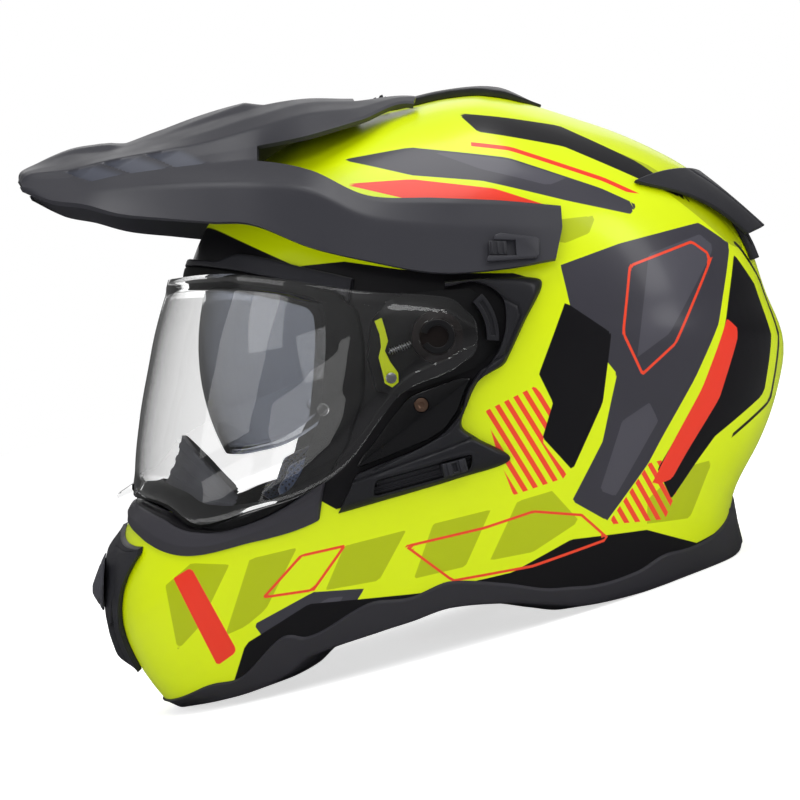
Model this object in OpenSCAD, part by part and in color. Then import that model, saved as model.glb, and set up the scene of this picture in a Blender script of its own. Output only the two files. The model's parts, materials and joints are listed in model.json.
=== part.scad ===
// Enduro helmet with peak, clear visor and drop-down sun visor.
// Every piece is drawn as the helmet is worn, in millimetres: the face looks
// along -X, the wearer's left is -Y, up is +Z, and the visor's hinge axis is
// the Y axis. placed() then tips the finished helmet back onto its rim.

/* [Shell] */
// Half of the shell's width
shell_half_w = 126; // [120:1:132]
// Thickness of the moulded shell
shell_t = 4; // [3:0.5:5]
// Squareness of the shell's cross-section, 2 is an ellipse
shell_square = 2.2; // [2.1:0.05:2.4]
// Depth of the foam liner, from the shell's outer face to its inner face
liner_depth = 38; // [34:1:42]
// Gap between pieces that sit on each other
seat_gap = 0.3; // [0.2:0.05:0.5]

/* [Rim] */
// How far the rim trim stands out from the shell
trim_proud = 1.5; // [1:0.25:2.5]
// How far the rim trim's flange reaches in under the foam
trim_flange = 26; // [20:1:30]
// Thickness of the rim trim's flange
trim_flange_t = 4; // [3:0.5:6]
// Angle by which the helmet tips back when it stands on its rim
rest_tilt = 16; // [15:0.5:17]

/* [Visor] */
// Thickness of the clear visor
visor_t = 2.2; // [1.8:0.1:2.6]
// How far the visor's ears stand out from the shell's half width
visor_stand = 9.5; // [8.5:0.5:10]
// Radius of the hub on which each visor ear turns
hub_r = 8.5; // [7:0.5:10]
// Running clearance round a hub or a pin
run_gap = 0.35; // [0.25:0.05:0.5]
// Angle by which the visor opens
visor_open = 41; // [36:1:43]

/* [Sun visor] */
// Radius of the sun visor about its hinge axis
sun_r = 116; // [114:0.5:116.5]
// Thickness of the sun visor
sun_t = 2; // [1.6:0.1:2.4]
// How far the sun visor lies inside the shell's half width
sun_inset = 16; // [14:0.5:18]
// Depth of the foam's pocket for the sun visor, from the shell's outer face
pocket_depth = 20; // [19:0.5:22]
// Travel of the sun visor's slide knob
slider_travel = 32; // [26:1:34]

/* [Pivot] */
// How far the flat pivot plates stand out from the shell's half width
pivot_face_gap = 0.9; // [0.7:0.1:1.2]
// Outer radius of the detent spring's turns
spring_r = 1.7; // [1.5:0.1:1.8]
// Radius of the detent spring's wire
spring_wire_r = 0.32; // [0.25:0.01:0.36]
// Number of turns of the detent spring
spring_turns = 8; // [6:1:9]
// Thickness of the detent lever
detent_t = 2.4; // [2:0.2:2.8]
// Head radius of the side cover's screw
screw_head_r = 3.4; // [2.8:0.2:4]

/* [Peak] */
// Thickness of the peak
peak_t = 2.6; // [2.2:0.1:3.2]
// Depth of the three scoops on each side of the peak
scoop_depth = 4; // [2:0.5:5]
// Travel of the peak's latch buttons
latch_travel = 4; // [2:0.5:5]

/* [Vents] */
// Travel of the crown vent's slider
crown_travel = 7; // [4:0.5:8]
// Travel of the chin vent's shutter
chin_travel = 5; // [3:0.5:6]
// Number of ribs of the rear outlet's grille
outlet_ribs = 9; // [5:2:11]

/* [Padding and strap] */
// Thickness of the crown pad
crown_pad_t = 8; // [6:0.5:10]
// Thickness of a cheek pad at its crown
cheek_t = 26; // [22:1:30]
// Width of the chin strap's webbing
strap_w = 25; // [20:1:26]
// Thickness of the chin strap's webbing
strap_t = 2; // [1.4:0.2:2.4]

/* [Hidden] */
// Head centre about which the shell's outline is given
cx = 35;
// Grid of the shell: cells round the eye port and cells from there to the rim
shell_nu = 40;
shell_nv = 16;

// Side outline of the shell: angle about the head centre from the front over
// the crown, and radius
shell_outline = [
    [0, 168], [13.5, 160], [20, 158.5], [30, 154.6], [40, 148.6], [50, 141],
    [60, 134], [70, 128.6], [80, 127.8], [90, 127.6], [100, 125], [110, 124.3],
    [120, 127], [130, 131.8], [145, 141.5], [160, 146], [170, 148],
    [180, 155.5], [190, 154.5], [200, 152.5], [208, 151], [213, 153],
    [220, 163], [230, 180], [245, 210], [260, 238], [275, 252], [290, 258],
    [302, 257], [311, 252.5], [317, 248.5], [323, 240], [330, 222],
    [336, 200], [345, 184], [352, 175]];

// Eye port edge: station round the port, angle, share of the half width
eye_edge = [
    [0, 13.5, 0], [30, 13.8, 0.357], [55, 14.2, 0.675], [75, 14.4, 0.845],
    [88, 12.5, 0.905], [97, 3, 0.928], [106, -12, 0.94], [114, -28, 0.943],
    [121, -36.5, 0.93], [130, -37.6, 0.885], [145, -35.2, 0.77],
    [152, -31.9, 0.66], [160, -28, 0.516], [170, -25.3, 0.28], [180, -24.3, 0]];

// Rim of the shell: station, angle, share of the half width
rim_edge = [
    [0, 212, 0], [30, 219, 0.405], [55, 230.6, 0.698], [75, 240.5, 0.79],
    [88, 253, 0.858], [95, 259.5, 0.88], [105, 270, 0.902],
    [115, 283, 0.905], [121, 290, 0.882], [130, 297.5, 0.855],
    [145, 303.2, 0.77], [152, 306.5, 0.735], [160, 307.3, 0.603],
    [170, 310.3, 0.446], [180, 312.2, 0]];

// Directions through which the grid runs from the eye port to the rim
crown_dir = [0.2, 0, 1];
flank_dir = [0.3, 1, -0.1];
chin_dir = [-0.77, 0, -0.62];

// Foot of the chin, on which the helmet stands at the front
chin_foot = [-125, -193];
function rest_line(x) = chin_foot[1] + tan(rest_tilt) * (x - chin_foot[0]);

// Lower edge of the rim trim: station, x, half width, z
trim_edge = [
    [0, 172, 0, rest_line(172)], [30, 158, 52, rest_line(158)],
    [55, 127, 80, rest_line(127)], [75, 108, 92, rest_line(108)],
    [88, 78, 103.5, -132], [95, 60, 108, -131.5], [105, 37, 111, -130.5],
    [115, 8, 110.5, -133], [121, -10, 108, -139.5], [130, -26, 104, -145],
    [145, -60, 93, -158], [152, -72, 84, -168], [160, -88, 72, -177],
    [170, -106, 54, -184], [180, chin_foot[0], 0, chin_foot[1]]];

// Numbers and tables

function lerp(a, b, t) = a + (b - a) * t;
function unit(v) = v / norm(v);
function limit(t) = min(1, max(0, t));
function ease(t) = let (s = limit(t)) s * s * (3 - 2 * s);
// The section tables are drawn for a half width of 126
function share_of(w) = w / 126;
function wide(w) = shell_half_w * share_of(w);

// Smooth curve through the rows of a table, whose first column rises
function row_before(rows, t, k = 0) =
    k >= len(rows) - 2 || t < rows[k + 1][0] ? k : row_before(rows, t, k + 1);
function row_slope(rows, k) =
    let (a = rows[max(0, k - 1)], b = rows[min(len(rows) - 1, k + 1)])
    (b - a) / (b[0] - a[0]);
function along(rows, t) =
    let (k = row_before(rows, t),
         h = rows[k + 1][0] - rows[k][0],
         s = (t - rows[k][0]) / h,
         s2 = s * s,
         s3 = s2 * s)
    (2 * s3 - 3 * s2 + 1) * rows[k] + (s3 - 2 * s2 + s) * h * row_slope(rows, k)
    + (3 * s2 - 2 * s3) * rows[k + 1] + (s3 - s2) * h * row_slope(rows, k + 1);

// Same, for a list of points one unit of t apart
function rail_at(rail, t) =
    along([for (k = [0:len(rail) - 1]) concat([k], rail[k])], t);

// Surface of the shell and surfaces beside it

outline_loop = concat(
    [for (r = [shell_outline[len(shell_outline) - 1]]) [r[0] - 360, r[1]]],
    shell_outline,
    [for (k = [0:1]) [shell_outline[k][0] + 360, shell_outline[k][1]]]);
outline_fine = [for (a = [0:2:360]) [a, along(outline_loop, a)[1]]];
function radius_at(a) = lookup((a + 720) % 360, outline_fine);

function bulge(share, n) = pow(max(0, 1 - pow(min(1, abs(share)), n)), 1 / n);

// Direction from the head centre to the surface at an angle and a side share
function dir_at(a, share) =
    let (rho = radius_at(a) * bulge(share, shell_square))
    [-rho * cos(a), -share * shell_half_w, rho * sin(a)];

// Point in a direction, off millimetres out from the shell
function surf(d, off) =
    let (a = atan2(d.z, -d.x),
         q = pow(norm([d.x, d.z]) / (radius_at(a) + off), shell_square)
             + pow(abs(d.y) / (shell_half_w + off), shell_square))
    [cx, 0, 0] + d * pow(q, -1 / shell_square);

// Half width of the shell at a point of the side view
function side_y(x, z, off) =
    let (a = atan2(z, cx - x))
    (shell_half_w + off)
    * bulge(norm([x - cx, z]) / (radius_at(a) + off), shell_square);

// Both halves of a table of stations, from -180 to 180 and a row beyond
function both_halves(half) =
    let (n = len(half))
    concat([[-360 + half[n - 2][0], half[n - 2][1], half[n - 2][2]]],
           [for (k = [n - 1:-1:1]) [-half[k][0], half[k][1], -half[k][2]]],
           half,
           [[360 - half[n - 2][0], half[n - 2][1], -half[n - 2][2]]]);
function turn(u) = u > 180 ? u - 360 : u < -180 ? u + 360 : u;
eye_loop = both_halves(eye_edge);
rim_loop = both_halves(rim_edge);
function eye_dir(u, shrink = 0) =
    let (r = along(eye_loop, turn(u)))
    dir_at(-11 + (r[1] + 11) * (1 - shrink * 1.7), r[2] * (1 - shrink));
function rim_dir(u) = let (r = along(rim_loop, turn(u))) dir_at(r[1], r[2]);
function mid_dir(u) =
    let (t = turn(u), c = abs(cos(t)), s = sin(t),
         d = abs(t) < 90 ? crown_dir : chin_dir)
    unit([c * d.x + abs(s) * flank_dir.x, -s, c * d.z + abs(s) * flank_dir.z]);
function arc_between(a, b, t) =
    let (p = unit(a), q = unit(b), w = acos(p * q))
    (sin((1 - t) * w) * p + sin(t * w) * q) / sin(w);
function shell_dir(u, v) =
    v < 0.5 ? arc_between(eye_dir(u), mid_dir(u), 2 * v)
            : arc_between(mid_dir(u), rim_dir(u), 2 * v - 1);

// Sheets: a grid of points outside, one inside, and walls between

function sheet_faces(nu, nv, wrap, keep) =
    let (rows = wrap ? nu : nu + 1,
         id = function (i, j, layer)
             (i % rows) * (nv + 1) + j + layer * rows * (nv + 1),
         has = function (i, j)
             j >= 0 && j < nv && (wrap || (i >= 0 && i < nu))
             && keep((i + nu) % nu, j))
    [for (i = [0:nu - 1], j = [0:nv - 1]) if (has(i, j))
        let (a = id(i, j, 0), b = id(i + 1, j, 0), c = id(i + 1, j + 1, 0),
             d = id(i, j + 1, 0), e = id(i, j, 1), f = id(i + 1, j, 1),
             g = id(i + 1, j + 1, 1), h = id(i, j + 1, 1))
        each concat(
            [[c, b, a], [d, c, a], [f, g, e], [g, h, e]],
            has(i, j - 1) ? [] : [[e, a, b], [f, e, b]],
            has(i, j + 1) ? [] : [[g, c, d], [h, g, d]],
            has(i - 1, j) ? [] : [[h, d, a], [e, h, a]],
            has(i + 1, j) ? [] : [[f, b, c], [g, f, c]])];

module sheet(outer, inner, wrap = false, keep = function (i, j) true) {
    nu = len(outer) - (wrap ? 0 : 1);
    nv = len(outer[0]) - 1;
    polyhedron(
        points = concat([for (r = outer) each r], [for (r = inner) each r]),
        faces = sheet_faces(nu, nv, wrap, keep), convexity = 6);
}

// A ring of closed sections, each section turning the same way
module ring(sections) {
    n = len(sections);
    k = len(sections[0]);
    polyhedron(
        points = [for (s = sections) each s],
        faces = [for (i = [0:n - 1], j = [0:k - 1])
            let (a = i * k + j, b = ((i + 1) % n) * k + j,
                 c = ((i + 1) % n) * k + (j + 1) % k, d = i * k + (j + 1) % k)
            each [[c, b, a], [d, c, a]]],
        convexity = 6);
}

// A tube of closed sections with flat ends
module tube(sections) {
    n = len(sections);
    k = len(sections[0]);
    polyhedron(
        points = [for (s = sections) each s],
        faces = concat(
            [[for (j = [0:k - 1]) j]],
            [for (i = [0:n - 2], j = [0:k - 1])
                let (a = i * k + j, b = (i + 1) * k + j,
                     c = (i + 1) * k + (j + 1) % k, d = i * k + (j + 1) % k)
                each [[a, b, c], [a, c, d]]],
            [[for (j = [k - 1:-1:0]) (n - 1) * k + j]]),
        convexity = 6);
}

// Unit normal of a grid of points, out of the face that turns i towards j
function grid_normal(g, i, j) =
    let (n = len(g) - 1, m = len(g[0]) - 1)
    unit(cross(g[min(n, i + 1)][j] - g[max(0, i - 1)][j],
               g[i][min(m, j + 1)] - g[i][max(0, j - 1)]));
function sunk(g, t) =
    [for (i = [0:len(g) - 1]) [for (j = [0:len(g[0]) - 1])
        g[i][j] - t * grid_normal(g, i, j)]];

// Pad on the shell's left flank: an outline in the side view, filled from a
// centre by rings, with a bottom that follows the shell
module flank_pad(outline, centre, rings, bottom, top) {
    n = len(outline);
    spot = function (k, r) lerp(centre, outline[k % n], r / rings);
    low = [for (r = [1:rings], k = [0:n - 1]) let (p = spot(k, r))
        [p[0], -side_y(p[0], p[1], bottom), p[1]]];
    high = [for (r = [1:rings], k = [0:n - 1]) let (p = spot(k, r))
        [p[0], -top(p[0], p[1], r / rings), p[1]]];
    c = centre;
    m = n * rings;
    id = function (r, k, layer) (r - 1) * n + k % n + layer * (m + 1);
    polyhedron(
        points = concat(low, [[c[0], -side_y(c[0], c[1], bottom), c[1]]],
                        high, [[c[0], -top(c[0], c[1], 0), c[1]]]),
        faces = [for (k = [0:n - 1]) each concat(
            [[id(1, k + 1, 0), id(1, k, 0), m],
             [id(1, k, 1), id(1, k + 1, 1), 2 * m + 1],
             [id(rings, k + 1, 1), id(rings, k, 1), id(rings, k, 0)],
             [id(rings, k + 1, 0), id(rings, k + 1, 1), id(rings, k, 0)]],
            rings < 2 ? [] : [for (r = [1:rings - 1]) each [
                [id(r + 1, k + 1, 0), id(r + 1, k, 0), id(r, k, 0)],
                [id(r, k + 1, 0), id(r + 1, k + 1, 0), id(r, k, 0)],
                [id(r + 1, k, 1), id(r + 1, k + 1, 1), id(r, k, 1)],
                [id(r + 1, k + 1, 1), id(r, k + 1, 1), id(r, k, 1)]]])],
        convexity = 6);
}

function circle_outline(c, r, n) =
    [for (k = [0:n - 1]) [c[0] + r * cos(360 * k / n), c[1] - r * sin(360 * k / n)]];

// A prism through the left flank, from an outline in the side view
module flank_prism(outline, y_in, y_out) {
    translate([0, -y_in, 0]) rotate([90, 0, 0])
        linear_extrude(y_out - y_in) polygon(outline);
}

// A round bar along Y on the left flank
module flank_bar(c, r, y_in, y_out) {
    translate([c[0], -y_in, c[1]]) rotate([90, 0, 0])
        cylinder(r = r, h = y_out - y_in, $fn = 48);
}

// The helmet as it stands: tipped back onto its rim, its bounding box centred
// over the origin
front_reach = 198.8;
rear_reach = 189.7;
module placed() {
    lift = chin_foot[0] * sin(rest_tilt) - chin_foot[1] * cos(rest_tilt);
    translate([(front_reach - rear_reach) / 2, 0, lift])
        rotate([0, rest_tilt, 0]) children();
}

// Shell and rim

function shell_grid(us, vs, off) = [for (u = us) [for (v = vs) surf(shell_dir(u, v), off)]];

shell_us = [for (i = [0:shell_nu - 1]) turn(360 * i / shell_nu)];

module outer_shell() {
    vs = [for (j = [0:shell_nv]) j / shell_nv];
    color([0.85, 0.93, 0.05])
        sheet(shell_grid(shell_us, vs, 0), shell_grid(shell_us, vs, -shell_t), wrap = true);
}

function trim_low(u) =
    let (t = turn(u), r = along(trim_edge, abs(t)))
    [r[1], (t < 0 ? 1 : -1) * wide(r[2]), max(r[3], rest_line(r[1]))];
// Same point, moved in towards the middle of the neck opening and up
function trim_in(u, depth, rise) =
    let (p = trim_low(u), c = [10, 0, p.z], k = depth / norm([p.x - c.x, p.y]),
         q = lerp(p, c, k))
    q + [0, 0, rise + tan(rest_tilt) * (q.x - p.x)];

module base_trim() {
    color([0.23, 0.22, 0.25]) ring([for (u = shell_us) [
        surf(rim_dir(u), trim_proud), trim_low(u), trim_in(u, trim_flange, 0),
        trim_in(u, trim_flange, trim_flange_t),
        trim_in(u, shell_t + 3, trim_flange_t), surf(rim_dir(u), -shell_t)]]);
}

// A point kept clear of the clear visor's inner face
visor_rest_gap = 0.6;
function under_visor(p) =
    let (v = visor_surf(p, -visor_t - visor_rest_gap)) norm(v) < norm(p) ? v : p;

// The gasket's lip is drawn in along the lower edge, behind the visor
module eyeport_gasket() {
    color([0.09, 0.09, 0.1]) ring([for (u = shell_us)
        let (d = eye_dir(u), e = eye_dir(u, 0.05),
             low = -6 - 8 * ease((abs(u) - 122) / 22),
             lip = 2.6 * (1 - ease((abs(u) - 135) / 15)))
        [under_visor(surf(d, lip)), surf(d, low), surf(e, low), under_visor(surf(e, lip - 1))]]);
}

brow_top = [[0, 15, 0], [40, 15.4, 0.47], [48, 17.8, 0.575],
    [70, 19.2, 0.8], [84, 20.5, 0.88], [92, 21.5, 0.915]];
function brow_dir(u) =
    let (r = along(brow_top, abs(u))) dir_at(r[1], u < 0 ? -r[2] : r[2]);

module brow_strip() {
    us = [for (i = [-15:15]) i * 5.8];
    rows = function (off) [for (u = us) [for (j = [0.06, 1])
        under_visor(surf(lerp(eye_dir(u), brow_dir(u), j), off))]];
    color([0.13, 0.13, 0.14]) sheet(rows(2.8), rows(seat_gap));
}

// Lower edge of the black band under the eye port
band_low = [[118, -45.5, 0.915], [126, -44, 0.885], [133, -40.5, 0.828],
    [140, -38.1, 0.774], [148, -35.3, 0.667], [160, -29.9, 0.447],
    [170, -27.4, 0.25], [180, -26.2, 0]];
function band_dir(u) =
    let (t = turn(u), r = along(band_low, abs(t))) dir_at(r[1], t < 0 ? -r[2] : r[2]);

module lower_cover() {
    us = [for (i = [0:28]) 125 + i * 110 / 28];
    share = [0.06, 0.5, 1];
    rows = function (off) [for (u = us) [for (j = [0:2])
        surf(lerp(eye_dir(u), band_dir(u), share[j]), off[j])]];
    color([0.2, 0.19, 0.21]) sheet(rows([2, 3.4, 1.6]), rows([seat_gap, seat_gap, seat_gap]));
}

// Foam and padding

// How far the foam's outer face lies inside the shell, deeper where the sun
// visor swings up between shell and foam
function foam_off(u, v) =
    let (deep = (1 - ease((v - 0.38) / 0.08)) * (1 - ease((abs(u) - 104) / 12)))
    -lerp(shell_t + seat_gap, pocket_depth, deep);
// How deep the foam's inner face lies, thinner behind the cheek pads
cheek_inset = 30;
function foam_in(u) = -lerp(liner_depth, cheek_inset - 5, ease((abs(u) - 92) / 18));
shell_vs = [for (j = [0:shell_nv]) j / shell_nv];
u_step = 360 / shell_nu;

module eps_liner() {
    us = [for (i = [-14:14]) i * u_step];
    vs = [for (j = [1:shell_nv - 1]) shell_vs[j]];
    color([0.16, 0.16, 0.17]) sheet(
        [for (u = us) [for (v = vs) surf(shell_dir(u, v), foam_off(u, v))]],
        [for (u = us) [for (v = vs) surf(shell_dir(u, v), foam_in(u))]]);
}

module chin_eps() {
    us = [for (i = [15:25]) i * u_step];
    vs = [for (j = [2:2:14]) shell_vs[j]];
    color([0.16, 0.16, 0.17]) sheet(
        shell_grid(us, vs, -shell_t - seat_gap), shell_grid(us, vs, -22));
}

module crown_pad() {
    us = [for (i = [-8:8]) i * u_step];
    vs = [for (j = [1:11]) shell_vs[j]];
    crown = function (i, j)
        0.55 + 0.45 * pow(bulge((i - 8) / 8.6, 2) * bulge((j - 5) / 5.4, 2), 0.5);
    color([0.3, 0.33, 0.4]) sheet(
        shell_grid(us, vs, -liner_depth - seat_gap),
        [for (i = [0:16]) [for (j = [0:10])
            surf(shell_dir(us[i], vs[j]),
                 -liner_depth - seat_gap - crown_pad_t * crown(i, j))]]);
}

// Cheek pad: a cushion against the flank, drawn in at its edges, with one
// stitched channel down its middle
cheek_x = [-78, 22];
cheek_low = [-162, -125];
cheek_high = [-58, -40];
module cheek_pad_left() {
    nx = 12;
    nz = 10;
    spot = function (i, j)
        let (s = 2 * i / nx - 1, t = 2 * j / nz - 1,
             a = (1 + s * (1 - 0.16 * t * t)) / 2, b = (1 + t * (1 - 0.14 * s * s)) / 2,
             low = lerp(cheek_low[0], cheek_low[1], a), high = lerp(cheek_high[0], cheek_high[1], a))
        [lerp(cheek_x[0], cheek_x[1], a), lerp(low, high, b), s, t];
    crown = function (s, t)
        let (edge = pow(bulge(s / 1.06, 2.4) * bulge(t / 1.06, 2.4), 0.6),
             channel = 0.14 * exp(-pow(s / 0.09, 2)))
        max(0.1, edge - channel);
    face = function (depth) [for (i = [0:nx]) [for (j = [0:nz])
        let (p = spot(i, j), y = max(wide(62), side_y(p[0], p[1], -cheek_inset)))
        [p[0], -y + depth * crown(p[2], p[3]), p[1]]]];
    color([0.32, 0.37, 0.47]) sheet(face(-4), face(cheek_t - 4));
}
module cheek_pad_right() { mirror([0, 1, 0]) cheek_pad_left(); }

// Neck roll: a padded roll round the back of the neck opening
module neck_roll() {
    us = [for (i = [-12:12]) i * 7.4];
    color([0.17, 0.17, 0.19]) tube([for (u = us)
        let (c = trim_in(u, trim_flange - 6, trim_flange_t + 12.5),
             out = unit([c.x - 10, c.y, 0]),
             grow = 0.75 + 0.25 * bulge(u / 95, 2))
        [for (k = [0:9]) c + out * (8.5 * grow * cos(36 * k))
            + [0, 0, 12 * grow * sin(36 * k)]]]);
}

module chin_curtain() {
    us = [for (i = [0:12]) 150 + i * 5];
    rows = function (rise) [for (u = us) [for (j = [0:3])
        trim_in(u, trim_flange - 3 + j * 8, trim_flange_t + 2 * seat_gap + 0.6 * j + rise)]];
    color([0.1, 0.1, 0.11]) sheet(rows(0), rows(1.5));
}

module breath_deflector() {
    n = 7;
    foot = function (s, off) surf(eye_dir(180 + s * 30), off);
    top = [chin_foot[0] - 1, 0, -50];
    bow = 1.6;
    rows = function (off) [for (i = [-n:n]) let (s = i / n, f = foot(s, off))
        [for (j = [0:4]) let (t = j / 4)
            lerp(f, [top.x + 26 * s * s - (off + 14) * 0.9, f.y * 0.82, top.z - 28 * s * s], t)
                + [bow * 4 * t * (1 - t), 0, 0]]];
    color([0.22, 0.23, 0.25]) sheet(rows(-18), rows(-15.6));
}

// Chin and crown vents

vent_low = [[0, -43.5], [10, -43], [15, -39], [27, -35.6], [40, -33.2], [54, -31.2]];
function vent_point(s, t, proud) =
    let (w = 54 * s, top = -26.9 - 3.6 * abs(s), low = along(vent_low, abs(w))[1],
         a = lerp(top, low, t))
    surf(dir_at(a, share_of(w)), proud);
// Height of the vent's nose over the chin
function vent_rise(s, t) =
    let (w = 54 * abs(s))
    3.2 + 5.5 * (1 - ease(w / 24)) * ease(t / 0.12) * (1 - ease((t - 0.8) / 0.2));
module chin_vent_frame() {
    nu = 16;
    nv = 7;
    grid = function (f) [for (i = [0:nu]) let (s = 1 - 2 * i / nu)
        [for (j = [0:nv]) vent_point(s, j / nv, f(s, j / nv))]];
    color([0.17, 0.17, 0.19]) sheet(
        grid(function (s, t) vent_rise(s, t)), grid(function (s, t) seat_gap));
}
module chin_vent_shutter() {
    ns = 6;
    grid = function (lift) [for (i = [0:ns]) let (w = lerp(15, -15, i / ns))
        [for (j = [0:4]) let (t = lerp(0.14 + 0.06 * abs(w) / 15, 0.5 - 0.1 * abs(w) / 15, j / 4))
            vent_point(w / 54, t, 9 + lift * (1 - 0.5 * abs(w) / 15))]];
    color([0.22, 0.22, 0.25]) sheet(grid(2.4), grid(0));
}

function crown_half(a) = lookup(a, [[61, 13], [80, 14], [86, 20], [90, 31], [97, 31], [103, 12]]);
module crown_vent_housing() {
    as = [for (k = [0:11]) 61 + k * 3.8];
    n = 6;
    grid = function (f) [for (i = [0:n]) let (s = 1 - 2 * i / n)
        [for (a = as) surf(dir_at(a, s * share_of(crown_half(a))), f(a, s))]];
    color([0.15, 0.15, 0.17]) sheet(
        grid(function (a, s) seat_gap),
        grid(function (a, s) 1.8 + 3.4 * ease((a - 60) / 3) * (1 - ease((a - 92) / 10))
            * bulge(s * 0.93, 3)));
}

crown_slider_at = 65;
crown_slider_tilt = -23;
module crown_vent_slider() {
    color([0.07, 0.07, 0.08]) translate(surf(dir_at(crown_slider_at, 0), 5.5))
        rotate([0, crown_slider_tilt, 0]) {
            translate([-5.5, -8, 0]) cube([11, 16, 1.6]);
            for (k = [0:2])
                translate([-4.5 + 3.6 * k, -7, 1.4]) cube([1.6, 14, 1.8]);
        }
}

// Rear spoiler: a blade from the crown's back edge out over the air outlet,
// given by its angle about the head centre, its side share and its lift
blade_t = 2.4;
module rear_spoiler() {
    n = 7;
    m = 4;
    angle = function (s, c) lerp(142 - 11.6 * s * s, 157.5, c);
    share = function (s, c) s * lerp(0.69, 0.44, pow(c, 1.4));
    lift = function (s, c) blade_t + 0.5 + 10 * c * c * (1 - 0.6 * s * s);
    grid = function (under) [for (i = [0:n * 2]) let (s = 1 - i / n)
        [for (j = [0:m]) let (c = j / m)
            surf(dir_at(angle(s, c), share(s, c)), lift(s, c) - under)]];
    color([0.2, 0.2, 0.22]) sheet(grid(blade_t), grid(0));
}

module rear_outlet_grille() {
    nu = 2 * outlet_ribs;
    as = [153, 156, 160, 163];
    grid = function (off) [for (i = [0:nu]) let (s = 1 - 2 * i / nu)
        [for (a = as) surf(dir_at(a, 0.4 * s), off)]];
    color([0.12, 0.12, 0.13]) sheet(grid(seat_gap), grid(2.6),
        keep = function (i, j) j != 1 || i % 2 == 0 || i == nu - 1);
}

// Visor pivots

pivot_face = shell_half_w + pivot_face_gap;
base_outline = [[-31, 8], [-24, 17], [-12, 21], [2, 22.5], [16, 23.5], [26, 17],
    [30.5, 6], [30.5, -5], [19, -15], [4, -21], [-8, -25], [-20, -28], [-29, -26],
    [-33, -10]];
module pivot_base_left() {
    color([0.1, 0.09, 0.1])
        flank_pad(base_outline, [-5, -3], 2, seat_gap, function (x, z, r) pivot_face);
}
module pivot_base_right() { mirror([0, 1, 0]) pivot_base_left(); }

visor_half_w = shell_half_w + visor_stand;
module pivot_hub_left() {
    color([0.16, 0.15, 0.15]) difference() {
        union() {
            flank_bar([0, 0], hub_r, pivot_face, visor_half_w);
            flank_bar([0, 0], hub_r + 4, pivot_face, visor_half_w - visor_t - 1.1);
        }
        flank_bar([0, 0], hub_r - 2.2, visor_half_w - 3, visor_half_w + 1);
        translate([-20, -visor_half_w - 1, -4]) cube([20, 4, 8]);
    }
}
module pivot_hub_right() { mirror([0, 1, 0]) pivot_hub_left(); }

detent_pin = [-22, -20];
detent_outline = [[-30, 7.5], [-26.5, 9], [-25, 4], [-23.4, -2], [-25, -7],
    [-22.5, -12], [-18.6, -17.5], [-18.4, -22], [-21.5, -24.5], [-25, -22.5],
    [-26.2, -17], [-28, -10], [-26.8, -5], [-27.5, 1]];
module detent_lever_left() {
    color([0.7, 0.76, 0.1]) difference() {
        flank_prism(detent_outline, pivot_face + seat_gap, pivot_face + seat_gap + detent_t);
        flank_bar(detent_pin, 1.5 + run_gap, pivot_face, pivot_face + 5);
    }
}
module detent_lever_right() { mirror([0, 1, 0]) detent_lever_left(); }

module detent_pin_left() {
    flank_bar(detent_pin, 1.5, pivot_face, pivot_face + seat_gap * 2 + detent_t);
    flank_bar(detent_pin, 2.6, pivot_face + seat_gap * 2 + detent_t,
        pivot_face + seat_gap * 2 + detent_t + 0.8);
}
module detent_pins() {
    color([0.75, 0.75, 0.77]) {
        detent_pin_left();
        mirror([0, 1, 0]) detent_pin_left();
    }
}

// Detent spring: one unbroken wire between the lever and its seat on the plate
spring_from = [-23.2, -7.4];
spring_to = [-12.6, -3.6];
spring_rings = 8;
spring_y = pivot_face + seat_gap + spring_r;
spring_len = norm(spring_to - spring_from);
spring_pitch = spring_len / (spring_turns + 1);
echo(least_gap_between_spring_turns = spring_pitch - 2 * spring_wire_r);
module detent_spring_left() {
    mean_r = spring_r - spring_wire_r;
    count = (spring_turns + 1) * spring_rings;
    ax = unit([spring_to[0] - spring_from[0], 0, spring_to[1] - spring_from[1]]);
    side = [0, -1, 0];
    up = cross(ax, side);
    start = [spring_from[0], -spring_y, spring_from[1]];
    color([0.8, 0.8, 0.82]) tube([for (i = [0:count])
        let (t = 360 * i / spring_rings,
             radial = cos(t) * side + sin(t) * up,
             c = start + ax * spring_len * i / count + radial * mean_r)
        [for (k = [0:5]) c + radial * (spring_wire_r * cos(60 * k))
            - ax * (spring_wire_r * sin(60 * k))]]);
}
module detent_spring_right() { mirror([0, 1, 0]) detent_spring_left(); }

release_in = 24;
release_out = 30;
module release_lever_left() {
    color([0.15, 0.15, 0.16]) rotate([90, 0, 0]) difference() {
        translate([0, 0, pivot_face + seat_gap])
            rotate([0, 0, -4]) rotate_extrude(angle = 48, $fn = 96)
                translate([release_in, 0]) square([release_out - release_in, 5.6]);
        translate([0, 0, pivot_face + 5])
            rotate([0, 0, 1]) rotate_extrude(angle = 38, $fn = 96)
                translate([release_in + 2, 0]) square([release_out - release_in - 4, 6]);
    }
}
module release_lever_right() { mirror([0, 1, 0]) release_lever_left(); }

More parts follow.
